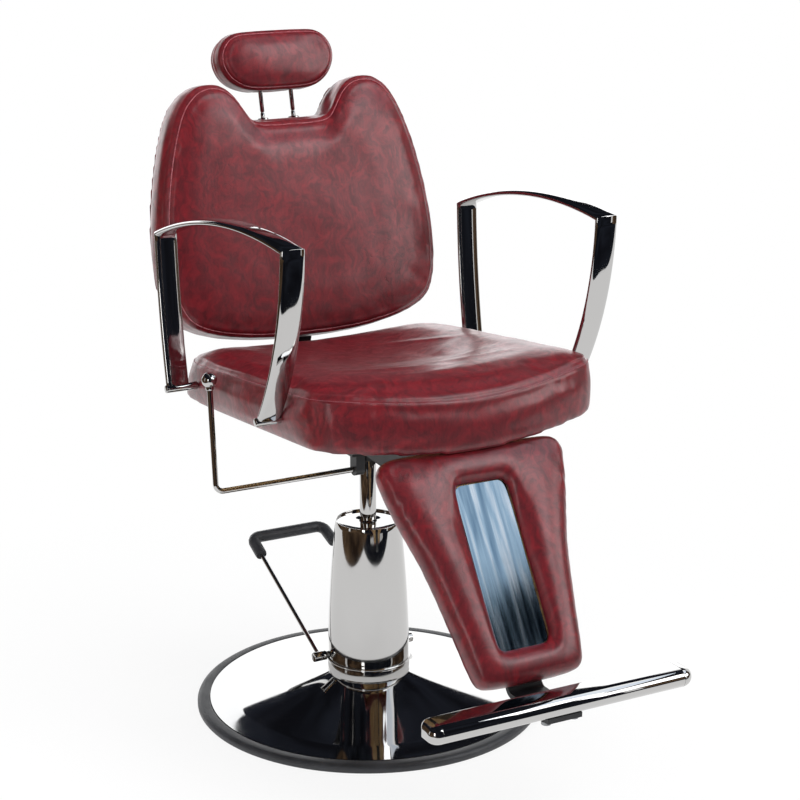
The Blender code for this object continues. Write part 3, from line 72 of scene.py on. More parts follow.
def feed(target, inputs):
    """Sets a node's inputs, each to a value, a socket, or the first output of a node."""
    for name, value in inputs.items():
        if isinstance(value, bpy.types.Node):
            value = value.outputs[0]
        if isinstance(value, bpy.types.NodeSocket):
            target.id_data.links.new(value, target.inputs[name])
        else:
            target.inputs[name].default_value = value


def node(tree, kind, inputs, stops=(), **settings):
    """Adds a shader node, with its inputs and settings. Stops are a ramp's places and colours."""
    made = tree.nodes.new("ShaderNode" + kind)
    for name, value in settings.items():
        setattr(made, name, value)
    feed(made, inputs)
    for i, (place, code) in enumerate(stops):
        ramp = made.color_ramp
        stop = ramp.elements[i] if i < 2 else ramp.elements.new(place)
        stop.position, stop.color = place, colour(code)
    return made


def material(name):
    """A new material, with its tree, its shader and the object's own coordinates."""
    made = bpy.data.materials.new(name)
    made.use_nodes = True
    tree = made.node_tree
    shader = tree.nodes["Principled BSDF"]
    place = node(tree, "TexCoord", {}).outputs["Object"]
    return made, tree, shader, place


def placed(name, mesh, finish=None):
    """The mesh as an object in the scene, with its finish."""
    data = bpy.data.meshes.new(name)
    mesh.to_mesh(data)
    mesh.free()
    if finish:
        data.materials.append(finish)
    obj = bpy.data.objects.new(name, data)
    scene.collection.objects.link(obj)
    return obj


WHITE = colour("#ffffff")
FLOOR_WHITE = colour("#f4f4f4")
FLOOR_RADIUS = 9.0
FADE_START = 0.40
FADE_END = 1.15
FADE_LEAST = 0.86
floor_paint, tree, shader, place = material("studio_floor_paint")
ray = node(tree, "LightPath", {}).outputs
apart = node(tree, "VectorMath", {0: place}, operation="LENGTH").outputs["Value"]
paper = node(tree, "MapRange", {0: apart, 1: FADE_START, 2: FADE_END, 3: FADE_LEAST, 4: 1.0})
paint = node(tree, "BsdfDiffuse", {"Color": FLOOR_WHITE})
glow = node(tree, "Emission", {"Color": WHITE, "Strength": 1.0})
seen = node(tree, "Math", {0: ray["Is Camera Ray"], 1: ray["Is Glossy Ray"]}, operation="ADD")
lifted = node(tree, "Math", {0: seen, 1: paper}, operation="MULTIPLY")
mixed = node(tree, "MixShader", {0: lifted, 1: paint, 2: glow})
feed(tree.nodes["Material Output"], {"Surface": mixed})

floor_mesh = bmesh.new()
bmesh.ops.create_circle(floor_mesh, cap_ends=True, radius=FLOOR_RADIUS, segments=64)
placed("studio_floor", floor_mesh, floor_paint)

ROOM_WHITE = colour("#f4f6fa")
ROOM_LIGHT = 0.50
world = bpy.data.worlds.new("studio_room")
world.use_nodes = True
scene.world = world
tree = world.node_tree
ray = node(tree, "LightPath", {}).outputs
white = node(tree, "Background", {"Color": WHITE, "Strength": 1.0})
fill = node(tree, "Background", {"Color": ROOM_WHITE, "Strength": ROOM_LIGHT})
seen = node(tree, "Math", {0: ray["Is Camera Ray"], 1: ray["Is Glossy Ray"]}, operation="ADD")
either = node(tree, "MixShader", {0: seen, 1: fill, 2: white})
feed(tree.nodes["World Output"], {"Surface": either})

CLOTH_CLOUD = 1.11


def panel(name, dim, lit, strength, centre, aim, width, height):
    """A cloth or card on a stand, turned to a point, that shows only in polished metal and gloss."""
    made, tree, _, place = material(name)
    cloud = node(tree, "TexNoise", {"Vector": place, "Scale": 1 / CLOTH_CLOUD, "Detail": 3.0})
    shade = node(tree, "ValToRGB", {"Fac": cloud}, [(0.38, dim), (0.62, lit)])
    glow = node(tree, "Emission", {"Color": shade, "Strength": strength})
    feed(tree.nodes["Material Output"], {"Surface": glow})
    mesh = bmesh.new()
    bmesh.ops.create_grid(mesh, x_segments=2, y_segments=2, size=0.5)
    bmesh.ops.scale(mesh, vec=(width, height, 1.0), verts=mesh.verts)
    face = (Vector(aim) - Vector(centre)).to_track_quat("Z", "Y").to_matrix().to_4x4()
    bmesh.ops.transform(mesh, matrix=Matrix.Translation(centre) @ face, verts=mesh.verts)
    sheet = placed(name, mesh, made)
    for sight in ("camera", "diffuse", "shadow", "transmission", "volume_scatter"):
        setattr(sheet, "visible_" + sight, False)


# Each drape or card: its dim and bright colour and its strength, where it is and faces, and its size.
BLACK_CLOTH = ("#14151a", "#23262e", 1.0)
BROWN_CLOTH = ("#2c221b", "#66523f", 1.0)
CARD_WHITE = ("#f2f2f2", "#ffffff")
panel("drape_ceiling", *BLACK_CLOTH, (0.0, 0.45, 3.3), (0.0, 0.45, 0.0), 9.6, 10.2)
panel("drape_front", *BLACK_CLOTH, (0.0, -4.6, 1.6), (0.0, 0.0, 1.6), 7.4, 3.6)
panel("drape_left", *BROWN_CLOTH, (-4.2, -1.9, 1.6), (0.0, 0.0, 1.6), 4.2, 3.6)
panel("drape_right", *BROWN_CLOTH, (4.3, -1.9, 1.6), (0.0, 0.0, 1.6), 4.2, 3.6)
panel("drape_left_rear", *BROWN_CLOTH, (-3.3, 2.3, 1.6), (0.0, 0.0, 1.6), 4.4, 3.6)
panel("drape_rear_top", *BLACK_CLOTH, (0.6, 4.6, 2.7), (0.0, 0.0, 2.7), 9.0, 1.6)
panel("floor_cloth_front", *BLACK_CLOTH, (0.0, -3.05, 0.01), (0.0, -3.05, 2.0), 9.0, 3.4)
panel("floor_cloth_left", *BROWN_CLOTH, (-2.95, 0.5, 0.012), (-2.95, 0.5, 2.0), 3.5, 9.0)
panel("card_key", *CARD_WHITE, 3.7, (2.60, -2.34, 1.60), (0.0, 0.0, 0.9), 1.9, 1.2)
panel("card_strip", *CARD_WHITE, 4.2, (-2.35, -2.49, 1.30), (0.0, 0.0, 0.9), 0.45, 1.6)
panel("card_sky", "#e4ebf3", "#ffffff", 4.0, (1.235, -2.149, 2.454), (0.0, -0.45, 0.38), 1.3, 1.08)
panel("card_above", "#dbe6f4", "#ffffff", 1.7, (1.9, -0.95, 3.0), (0.1, -0.6, 0.2), 2.2, 2.0)
panel("card_behind", "#f6f8fa", "#ffffff", 1.9, (1.3, 3.2, 0.95), (0.0, 0.0, 0.6), 5.4, 1.9)


def lamp(name, centre, aim, width, height, watts):
    """A softbox at a place, aimed at a point."""
    light = bpy.data.lights.new(name, "AREA")
    light.shape = "RECTANGLE"
    light.size, light.size_y, light.energy = width, height, watts
    box = bpy.data.objects.new(name, light)
    scene.collection.objects.link(box)
    box.location = centre
    box.rotation_euler = (Vector(aim) - Vector(centre)).to_track_quat("-Z", "Y").to_euler()
    box.visible_glossy = False


lamp("softbox_overhead", (0.2, 0.2, 2.9), (0.0, 0.0, 0.6), 1.6, 1.6, 42.0)
lamp("softbox_key", (1.5, -2.3, 2.3), (0.0, 0.1, 0.8), 1.2, 1.2, 46.0)
lamp("softbox_side", (-2.6, -0.7, 1.5), (0.0, 0.0, 0.7), 0.7, 1.8, 30.0)

# ---- Base: rubber rim, pressed dish and collar ----
# A round steel plate carries a trumpet-shaped dish of pressed steel, chromium plated. A moulded rubber
# rim grips the edge of the plate, and a plated ring with a rolled lip closes the neck of the dish.
BASE_RADIUS = 0.300
RIM_WIDTH = 0.022
RIM_HEIGHT = 0.014
PLATE_THICKNESS = 0.008
DISH_SHEET = 0.0016
FIT = 0.0003
DISH_RADIUS = BASE_RADIUS - RIM_WIDTH - FIT
DISH_BORDER_RADIUS = 0.236
DISH_BORDER_RISE = 0.0022
DISH_STEPS = 36
NECK_RADIUS = 0.0715
NECK_HEIGHT = 0.056
COLLAR_BOTTOM = 0.0563
COLLAR_TOP = 0.0823
COLLAR_WALL = 0.006
COLLAR_LIP = 0.0015
TURNS = 160
SHARP_ANGLE = math.radians(35)
CREASE_ANGLE = math.radians(50)
WELD = 1e-6
SIDES = ((-1, "right"), (1, "left"))


def spun(profile, steps=TURNS):
    """A mesh turned about the vertical from (radius, height) points that close on themselves."""
    mesh = bmesh.new()
    points = [mesh.verts.new((radius, 0.0, height)) for radius, height in profile]
    edges = []
    for first, second in zip(points, points[1:] + points[:1]):
        if first.co.x > 0 or second.co.x > 0:
            edges.append(mesh.edges.new((first, second)))
    turn = {"axis": (0, 0, 1), "cent": (0, 0, 0), "angle": math.tau}
    bmesh.ops.spin(mesh, geom=points + edges, steps=steps, use_merge=True, **turn)
    return mesh


def softened(mesh, width, segments=2):
    """Rounds every edge between faces that meet at a sharp angle."""
    bmesh.ops.remove_doubles(mesh, verts=mesh.verts, dist=WELD)
    walls = [edge for edge in mesh.edges if len(edge.link_faces) == 2]
    sharp = [edge for edge in walls if edge.calc_face_angle(0.0) > SHARP_ANGLE]
    even = {"profile": 0.5, "affect": "EDGES", "material": -1, "clamp_overlap": True}
    bmesh.ops.bevel(mesh, geom=sharp, offset=width, segments=segments, **even)
    return mesh


def finished(name, mesh, finish, body, replaced=()):
    """The piece as an object: faces outwards, smooth shading, finish, and what it rides on."""
    bmesh.ops.remove_doubles(mesh, verts=mesh.verts, dist=WELD)
    bmesh.ops.recalc_face_normals(mesh, faces=mesh.faces)
    obj = placed(name, mesh, finish)
    obj.data.shade_smooth()
    obj.data.set_sharp_from_angle(angle=CREASE_ANGLE)
    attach(obj, body)
    if replaced:
        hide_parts(*replaced)


# Chromium plate over polished steel: a bright, neutral mirror with the faint ripple of hand buffing
# and thin smears of handling.
CHROME_SMEAR = 0.04545
CHROME_RIPPLE = 0.1111
chrome, tree, shader, place = material("chromium_plate")
smear = node(tree, "TexNoise", {"Vector": place, "Scale": 1 / CHROME_SMEAR, "Detail": 5.0, "Roughness": 0.6})
gloss = node(tree, "MapRange", {0: smear, 1: 0.35, 2: 0.75, 3: 0.025, 4: 0.075})
ripple = node(tree, "TexNoise", {"Vector": place, "Scale": 1 / CHROME_RIPPLE, "Detail": 1.5})
bump = node(tree, "Bump", {"Height": ripple, "Strength": 0.02, "Distance": 0.002})
feed(shader, {"Base Color": colour("#c1c0bf"), "Metallic": 1.0, "Roughness": gloss, "Normal": bump})

# Moulded rubber, charcoal: dull, with the fine pits of its mould and a bloom of pale dust on top.
RUBBER_DUST = 0.0333
RUBBER_PIT = 0.00143
rubber, tree, shader, place = material("moulded_rubber")
dust = node(tree, "TexNoise", {"Vector": place, "Scale": 1 / RUBBER_DUST, "Detail": 6.0, "Roughness": 0.7})
tone = node(tree, "ValToRGB", {"Fac": dust}, [(0.3, "#26272a"), (0.75, "#3b3c40")])
pits = node(tree, "TexNoise", {"Vector": place, "Scale": 1 / RUBBER_PIT, "Detail": 2.0})
bump = node(tree, "Bump", {"Height": pits, "Strength": 0.25, "Distance": 0.0004})
gloss = node(tree, "MapRange", {0: dust, 1: 0.3, 2: 0.7, 3: 0.38, 4: 0.52})
feed(shader, {"Base Color": tone, "Roughness": gloss, "Normal": bump})

# The rim's rounded edges, as steps in from its wall and down from its top.
inner = BASE_RADIUS - RIM_WIDTH
rim_profile = [(BASE_RADIUS - 0.0015, 0.0), (BASE_RADIUS, 0.002)]
for step_in, drop in ((0.0, 0.006), (0.0015, 0.0028), (0.0045, 0.0006), (0.008, 0.0)):
    rim_profile.append((BASE_RADIUS - step_in, RIM_HEIGHT - drop))
for step_out, drop in ((0.0035, 0.0), (0.0012, 0.0005), (0.0, 0.0018), (0.0, RIM_HEIGHT)):
    rim_profile.append((inner + step_out, RIM_HEIGHT - drop))
finished("base_rubber_rim", spun(rim_profile), rubber, "base", ["base_rim"])

# The dish is almost flat at its border, and then rises more and more steeply to its neck.
dish_top = [(DISH_RADIUS, RIM_HEIGHT)]
foot = RIM_HEIGHT + DISH_BORDER_RISE
for k in range(DISH_STEPS + 1):
    share = k / DISH_STEPS
    rise = 0.35 * share**1.3 + 0.50 * share + 0.15 * share**5
    radius = DISH_BORDER_RADIUS - (DISH_BORDER_RADIUS - NECK_RADIUS) * share
    dish_top.append((radius, foot + (NECK_HEIGHT - foot) * rise))
dish_under = [(radius, height - DISH_SHEET) for radius, height in dish_top[::-1]]
dish_under[-1] = (DISH_RADIUS - DISH_SHEET, RIM_HEIGHT - DISH_SHEET)
skirt = [(DISH_RADIUS - DISH_SHEET, PLATE_THICKNESS + FIT), (DISH_RADIUS, PLATE_THICKNESS + FIT)]
finished("base_chrome_dish", spun(dish_top + dish_under + skirt), chrome, "base", ["base_dish"])

# The collar's rolled lip, as shares of how far it stands out and steps down from its top.
collar_profile = [(NECK_RADIUS, COLLAR_BOTTOM)]
for share, drop in ((0.0, 0.0056), (0.7, 0.0048), (1.0, 0.0032), (1.0, 0.0016), (0.6, 0.0004), (0.0, 0.0)):
    collar_profile.append((NECK_RADIUS + COLLAR_LIP * share, COLLAR_TOP - drop))
collar_profile += [(NECK_RADIUS - COLLAR_WALL, level) for level in (COLLAR_TOP, COLLAR_BOTTOM)]
finished("base_chrome_collar", spun(collar_profile), chrome, "base", ["base_collar"])

# Bright zinc on mild steel, for the plate under the dish and the hidden pump: a grey, cloudy metal.
ZINC_CLOUD = 0.01667
zinc, tree, shader, place = material("zinc_plated_steel")
cloud = node(tree, "TexNoise", {"Vector": place, "Scale": 1 / ZINC_CLOUD, "Detail": 5.0})
tone = node(tree, "ValToRGB", {"Fac": cloud}, [(0.35, "#7d7f82"), (0.7, "#a9abad")])
gloss = node(tree, "MapRange", {0: cloud, 1: 0.3, 2: 0.7, 3: 0.28, 4: 0.46})
feed(shader, {"Base Color": tone, "Metallic": 1.0, "Roughness": gloss})


def refinish(finish, *names):
    """Gives solids whose shape is right their finish."""
    for name in names:
        nodes[name].data.materials.clear()
        nodes[name].data.materials.append(finish)


refinish(zinc, "base_plate", "pump_body", "gland_nut")

# ---- Column: tapered cover and the piston that lifts the chair ----
# A spun and chromed steel cover stands on the collar and hides the hydraulic pump. The ground and
# chromed piston rises through a thin plate in its top, and carries the seat.
SHROUD_FOOT = 0.0826
SHROUD_HEIGHT = 0.249
SHROUD_FOOT_RADIUS = 0.0710
SHROUD_WAIST_RADIUS = 0.0665
SHROUD_TOP_RADIUS = 0.0560
SHROUD_WALL = 0.0018
SHROUD_STEPS = 32
PISTON_RADIUS = 0.0140
PISTON_BOTTOM = 0.200
PISTON_TOP = 0.461

shroud_outside = []
bulge = SHROUD_WAIST_RADIUS - (SHROUD_FOOT_RADIUS + SHROUD_TOP_RADIUS) / 2
for k in range(SHROUD_STEPS + 1):
    share = k / SHROUD_STEPS
    straight = SHROUD_FOOT_RADIUS + (SHROUD_TOP_RADIUS - SHROUD_FOOT_RADIUS) * share
    shroud_outside.append((straight + 4 * share * (1 - share) * bulge, SHROUD_FOOT + SHROUD_HEIGHT * share))
shroud_inside = [(radius - SHROUD_WALL, height) for radius, height in shroud_outside[::-1]]
shroud = softened(spun(shroud_outside + shroud_inside), 0.0006)
finished("column_cover", shroud, chrome, "base", ["column_shroud"])

CAP_DEPTH = 0.0025
CAP_SHEET = 0.0015
CAP_BORE = PISTON_RADIUS + 0.0012
cap_top = SHROUD_FOOT + SHROUD_HEIGHT - CAP_DEPTH
cap_under = cap_top - CAP_SHEET
cap_rim = SHROUD_TOP_RADIUS - SHROUD_WALL - FIT
cap_profile = [(cap_rim, cap_top), (CAP_BORE, cap_top), (CAP_BORE, cap_under), (cap_rim, cap_under)]
finished("column_cap", softened(spun(cap_profile), 0.0003), chrome, "base")

rod_side = [(PISTON_RADIUS, PISTON_BOTTOM), (PISTON_RADIUS, PISTON_TOP)]
rod = softened(spun([*rod_side, (0.0, PISTON_TOP), (0.0, PISTON_BOTTOM)], 64), 0.0012)
finished("chromed_piston", rod, chrome, "lift", ["piston_rod"])

# ---- Pump lever: a bent rod with a rubber sleeve, worked by the foot ----
# One chromed rod runs from the two ends of a cross shaft back to a bow that the foot presses. A
# rubber sleeve is pushed over the bow, and wrinkles a little at its two bends.
SHAFT_Y = 0.022
SHAFT_Z = 0.0865
BOSS_RADIUS = 0.0085
BOSS_WIDTH = 0.024
BAIL_FOOT_X = 0.085
BAIL_TOP_X = 0.0725
BAIL_TOP_Y = 0.329
BAIL_TOP_Z = 0.2045
BAIL_RADIUS = 0.0038
BAIL_BEND = 0.016
GRIP_RADIUS = 0.0106
GRIP_LEG = 0.050
GRIP_STEP = 0.0014
MOUTH_LENGTH = 0.004
MOUTH_SHARE = 0.93
WRINKLE_PITCH = 0.0052
WRINKLE_DEPTH = 0.035
WRINKLE_REACH = 0.015


def bent(corners, radius, steps=12):
    """A line through corners, each inner one rounded to an arc as a rod is when it is bent."""
    corners = [Vector(corner) for corner in corners]
    line = [corners[0]]
    for before, corner, after in zip(corners, corners[1:], corners[2:]):
        back, on = (before - corner).normalized(), (after - corner).normalized()
        half = back.angle(on) / 2
        centre = corner + (back + on).normalized() * (radius / math.sin(half))
        start = corner + back * (radius / math.tan(half)) - centre
        end = corner + on * (radius / math.tan(half)) - centre
        line += [centre + start.slerp(end, k / steps).normalized() * radius for k in range(steps + 1)]
    return line + [corners[-1]]


def tube(line, radius, sides=24, loop=False, radii=None):
    """A mesh of a round rod that follows a line, by way of a bevelled curve."""
    curve = bpy.data.curves.new("rod_line", "CURVE")
    curve.dimensions = "3D"
    curve.bevel_depth = radius
    curve.bevel_resolution = sides // 4 - 1
    curve.use_fill_caps = not loop
    spline = curve.splines.new("POLY")
    spline.points.add(len(line) - 1)
    for i, point in enumerate(line):
        spline.points[i].co = (*point, 1.0)
        spline.points[i].radius = radii[i] if radii else 1.0
    spline.use_cyclic_u = loop
    holder = bpy.data.objects.new("rod_line", curve)
    scene.collection.objects.link(holder)
    data = bpy.data.meshes.new_from_object(holder.evaluated_get(bpy.context.evaluated_depsgraph_get()))
    mesh = bmesh.new()
    mesh.from_mesh(data)
    bpy.data.objects.remove(holder)
    bpy.data.curves.remove(curve)
    bpy.data.meshes.remove(data)
    return mesh


def crossways(radius, x_low, x_high, y, z, edge):
    """A round bar across the chair, with eased ends."""
    mesh = bmesh.new()
    turn = Matrix.Translation(((x_low + x_high) / 2, y, z)) @ Matrix.Rotation(math.radians(90), 4, "Y")
    size = {"radius1": radius, "radius2": radius, "depth": x_high - x_low}
    bmesh.ops.create_cone(mesh, cap_ends=True, segments=40, matrix=turn, **size)
    return softened(mesh, edge, 3)


feet = [Vector((side * BAIL_FOOT_X, SHAFT_Y, SHAFT_Z)) for side in (-1, 1)]
tops = [Vector((side * BAIL_TOP_X, BAIL_TOP_Y, BAIL_TOP_Z)) for side in (-1, 1)]
starts = [foot + (top - foot).normalized() * BOSS_RADIUS for foot, top in zip(feet, tops)]
bail = tube(bent([starts[0], *tops, starts[1]], BAIL_BEND), BAIL_RADIUS)
finished("pump_lever_rod", bail, chrome, "pump_lever", ["lever_bail"])

ends = [top + (foot - top).normalized() * GRIP_LEG for foot, top in zip(feet, tops)]
sleeve_line = bent([ends[0], *tops, ends[1]], BAIL_BEND, 28)
fine_line = []
for first, second in zip(sleeve_line, sleeve_line[1:]):
    pieces = max(1, round((second - first).length / GRIP_STEP))
    fine_line += [first.lerp(second, k / pieces) for k in range(pieces)]
fine_line.append(sleeve_line[-1])
widths = []
run = 0.0
for i, point in enumerate(fine_line):
    run += (point - fine_line[i - 1]).length if i else 0.0
    bend = min((point - top).length for top in tops)
    wrinkle = math.cos(run * math.tau / WRINKLE_PITCH) * math.exp(-((bend / WRINKLE_REACH) ** 2))
    mouth = MOUTH_SHARE + (1 - MOUTH_SHARE) * min(1.0, run / MOUTH_LENGTH)
    left = (fine_line[-1] - point).length
    far_mouth = MOUTH_SHARE + (1 - MOUTH_SHARE) * min(1.0, left / MOUTH_LENGTH)
    widths.append(min(mouth + WRINKLE_DEPTH * wrinkle, far_mouth))
grip = tube(fine_line, GRIP_RADIUS, 28, radii=widths)
finished("pump_lever_sleeve", grip, rubber, "pump_lever", ["lever_grip"])

for side, name in SIDES:
    middle = side * BAIL_FOOT_X
    boss = crossways(BOSS_RADIUS, middle - BOSS_WIDTH / 2, middle + BOSS_WIDTH / 2, SHAFT_Y, SHAFT_Z, 0.0012)
    finished(f"pump_lever_boss_{name}", boss, chrome, "pump_lever", [f"lever_boss_{name}"])
refinish(zinc, "lever_shaft")

# ---- Steel under the seat: hub, carrier, links and their pins ----
# Welded and powder-coated plate: a socket on the piston, a carrier with two cheeks, the bar that
# holds the backrest, and the link that raises the legrest as the backrest goes down.
COAT_PEEL = 0.00238
COAT_CLOUD = 0.0556
coated, tree, shader, place = material("black_powder_coat")
peel = node(tree, "TexNoise", {"Vector": place, "Scale": 1 / COAT_PEEL, "Detail": 2.0})
cloud = node(tree, "TexNoise", {"Vector": place, "Scale": 1 / COAT_CLOUD, "Detail": 4.0})
tone = node(tree, "ValToRGB", {"Fac": cloud}, [(0.35, "#131315"), (0.7, "#202124")])
gloss = node(tree, "MapRange", {0: cloud, 1: 0.3, 2: 0.7, 3: 0.34, 4: 0.48})
bump = node(tree, "Bump", {"Height": peel, "Strength": 0.22, "Distance": 0.0005})
feed(shader, {"Base Color": tone, "Roughness": gloss, "Normal": bump})

refinish(coated, "swivel_hub", "seat_carrier", "lever_bracket", "back_bar", "link_bar", "legrest_strut")
refinish(zinc, "back_hinge_pin", "legrest_hinge_pin", "post_guide_left", "post_guide_right", "headrest_plate")
refinish(zinc, "arm_stud_front_left", "arm_stud_front_right", "arm_stud_back_left", "arm_stud_back_right")

# Birch plywood, sawn and unpainted: pale veneer with long grain and the odd darker streak.
GRAIN_LENGTH = 0.08333
GRAIN_WIDTH = 0.005556
birch, tree, shader, place = material("birch_plywood")
drawn = node(tree, "Mapping", {"Vector": place, "Scale": (GRAIN_WIDTH / GRAIN_LENGTH, 1.0, 1.0)})
grain = node(tree, "TexNoise", {"Vector": drawn, "Scale": 1 / GRAIN_WIDTH, "Detail": 8.0, "Distortion": 0.6})
veneer = [(0.30, "#9c7748"), (0.50, "#c3a070"), (0.75, "#d8bd91")]
tone = node(tree, "ValToRGB", {"Fac": grain}, veneer)
bump = node(tree, "Bump", {"Height": grain, "Strength": 0.2, "Distance": 0.0005})
feed(shader, {"Base Color": tone, "Roughness": 0.7, "Normal": bump})
refinish(birch, "seat_panel", "seat_rail_left", "seat_rail_right", "seat_crossrail_back")
refinish(birch, "seat_crossrail_front", "back_board", "legrest_board")

# ---- Seat cushion ----
# Moulded foam on a plywood panel, covered in oxblood vinyl: a top panel dished by sitters between
# raised sides, and a wall sewn to it all round with a turned and top-stitched seam.
SEAT_TILT = math.radians(5.0)
SEAT_UNDERSIDE = 0.544
SEAT_HALF_WIDTH = 0.250
SEAT_BACK = 0.268
SEAT_FRONT = 0.365
SEAT_CORNER = 0.275
SEAT_LIP_DROP = 0.024
SEAM_BACK = 0.074
SEAM_FRONT = 0.090
STITCH_PITCH = 0.0036
STITCH_LENGTH = 0.0024
THREAD = 0.0011
THREAD_LIFT = 0.0004
FOAM_REGAIN = 0.0008
SEAT_MIDDLE = 0.05
SEAT_HELD_HEIGHT = 0.012
SEAT_STITCH_DROP = 0.0052
SLACK = 0.0012
WORKED = 0.0003
SEAT_VOXEL = 0.006
SEAT_SWELL = 0.003
SEAT_PRESSURE = 2.0
CLOTH_FRAMES = 20
VINYL_CLOTH = {"quality": 4, "mass": 0.4, "shear_stiffness": 10.0, "bending_stiffness": 1.2}
VINYL_CLOTH |= {"tension_stiffness": 22.0, "compression_stiffness": 22.0}


class Face:
    """Axes of a tilted piece: x across the chair, along its face, and out of its face."""

    def __init__(self, origin, along, out):
        self.origin = Vector((0.0, *origin))
        self.along = Vector((0.0, *along))
        self.out = Vector((0.0, *out))

    def at(self, x, along, out=0.0):
        return self.origin + Vector((x, 0.0, 0.0)) + self.along * along + self.out * out

    def of(self, point):
        offset = Vector(point) - self.origin
        return offset.x, offset.dot(self.along), offset.dot(self.out)


# Vinyl upholstery, calendered and printed: a deep oxblood with darker cloudy bands, a fine leather
# grain, hair-thin creases where it is worked, and a semi-gloss skin.
GRAIN = 0.0013
PRINT = 0.014
CREASE = 0.020
CREASED_PATCH = 0.1111
PRINT_SWAY = 0.0714
STREAK_LENGTH = 0.025
STREAK_WIDTH = 0.003846
SKIN_RIPPLE = 0.02083
vinyl, tree, shader, place = material("oxblood_vinyl")
sway = node(tree, "TexNoise", {"Vector": place, "Scale": 1 / PRINT_SWAY, "Detail": 3.0}).outputs["Color"]
moved = node(tree, "MixRGB", {"Fac": 0.06, "Color1": place, "Color2": sway}, blend_type="LINEAR_LIGHT")
band = node(tree, "Mapping", {"Vector": moved, "Scale": (1.0, 1.0, 0.45)})
cloud = node(tree, "TexNoise", {"Vector": band, "Scale": 1 / PRINT, "Detail": 7.0, "Roughness": 0.62})
oxblood = [(0.34, "#501219"), (0.50, "#64161e"), (0.60, "#721820"), (0.74, "#821b24")]
tone = node(tree, "ValToRGB", {"Fac": cloud}, oxblood)
drawn_out = (1.0, 1.0, STREAK_WIDTH / STREAK_LENGTH)
fibre = node(tree, "Mapping", {"Vector": place, "Scale": drawn_out})
rub = node(tree, "TexNoise", {"Vector": fibre, "Scale": 1 / STREAK_WIDTH, "Detail": 3.0})
streak = node(tree, "MapRange", {0: rub, 1: 0.35, 2: 0.7, 3: 0.88, 4: 1.06})
cells = node(tree, "TexVoronoi", {"Vector": moved, "Scale": 1 / CREASE}, feature="DISTANCE_TO_EDGE")
patch = node(tree, "TexNoise", {"Vector": place, "Scale": 1 / CREASED_PATCH, "Detail": 2.0})
where = node(tree, "MapRange", {0: patch, 1: 0.50, 2: 0.66, 3: 0.0, 4: 1.0})
line = node(tree, "MapRange", {0: cells, 1: 0.0, 2: 0.022, 3: 1.0, 4: 0.0})
crease = node(tree, "Math", {0: line, 1: where}, operation="MULTIPLY")
darker = node(tree, "MapRange", {0: crease, 1: 0.0, 2: 1.0, 3: 1.0, 4: 0.55})
depth = node(tree, "Math", {0: streak, 1: darker}, operation="MULTIPLY")
skin = node(tree, "VectorMath", {0: tone, 3: depth}, operation="SCALE")
pore = node(tree, "TexVoronoi", {"Vector": place, "Scale": 1 / GRAIN}, feature="F1")
pit = node(tree, "Bump", {"Height": pore, "Strength": 0.10, "Distance": 0.0004})
fold = node(tree, "Bump", {"Height": crease, "Strength": 0.22, "Distance": 0.0008, "Normal": pit}, invert=True)
wave = node(tree, "TexNoise", {"Vector": moved, "Scale": 1 / SKIN_RIPPLE, "Detail": 4.0, "Roughness": 0.55})
swell = node(tree, "Bump", {"Height": wave, "Strength": 0.06, "Distance": 0.003, "Normal": fold})
sheen = node(tree, "MapRange", {0: cloud, 1: 0.3, 2: 0.7, 3: 0.40, 4: 0.30})
feed(shader, {"Base Color": skin, "Roughness": sheen, "Normal": swell, "IOR": 1.5})
feed(shader, {"Coat Weight": 0.30, "Coat Roughness": 0.22})

# Bonded polyester thread, a paler rose than the cover.
THREAD_TWIST = 0.00111
thread, tree, shader, place = material("bonded_thread")
twist = node(tree, "TexNoise", {"Vector": place, "Scale": 1 / THREAD_TWIST, "Detail": 2.0})
tone = node(tree, "ValToRGB", {"Fac": twist}, [(0.3, "#7c3c43"), (0.7, "#b4777d")])
feed(shader, {"Base Color": tone, "Roughness": 0.55})

# The turned edge of the same vinyl along a seam, smoother than the panels, and painted paler: a painted
# highlight along the edge of the seam.
SEAM_HIGHLIGHT_SPOT = 0.00625
seam_highlight_paint, tree, shader, place = material("vinyl_seam_painted_highlight")
highlight_spots = node(tree, "TexNoise", {"Vector": place, "Scale": 1 / SEAM_HIGHLIGHT_SPOT, "Detail": 3.0})
# The pale end of this ramp is painted highlight along the seam's edge.
tone = node(tree, "ValToRGB", {"Fac": highlight_spots}, [(0.30, "#7d3038"), (0.70, "#b06a70")])
gloss = node(tree, "MapRange", {0: highlight_spots, 1: 0.3, 2: 0.7, 3: 0.42, 4: 0.26})
feed(shader, {"Base Color": tone, "Roughness": gloss})

SEAT = Face(
    (0.0, SEAT_UNDERSIDE),
    (-math.cos(SEAT_TILT), math.sin(SEAT_TILT)),
    (math.sin(SEAT_TILT), math.cos(SEAT_TILT)),
)


def curved(half, per_span=6):
    """A closed outline, the same on both sides, through the points of one half."""
    points = [Vector(p) for p in half] + [Vector((-x, y)) for x, y in half[-2:0:-1]]
    count = len(points)
    line = []
    for i in range(count):
        p0, p1, p2, p3 = (points[(i + k) % count] for k in (-1, 0, 1, 2))
        for k in range(per_span):
            t = k / per_span
            bend = (p0 * 2 - p1 * 5 + p2 * 4 - p3) * t * t + (p1 * 3 - p0 - p2 * 3 + p3) * t**3
            line.append((p1 * 2 + (p2 - p0) * t + bend) / 2)
    return line


def evenly(line, step):
    """A closed line again, as points a step apart."""
    spaced = []
    spare = 0.0
    for first, second in zip(line, line[1:] + line[:1]):
        length = (second - first).length
        while spare < length:
            spaced.append(first.lerp(second, spare / length))
            spare += step
        spare -= length
    return spaced


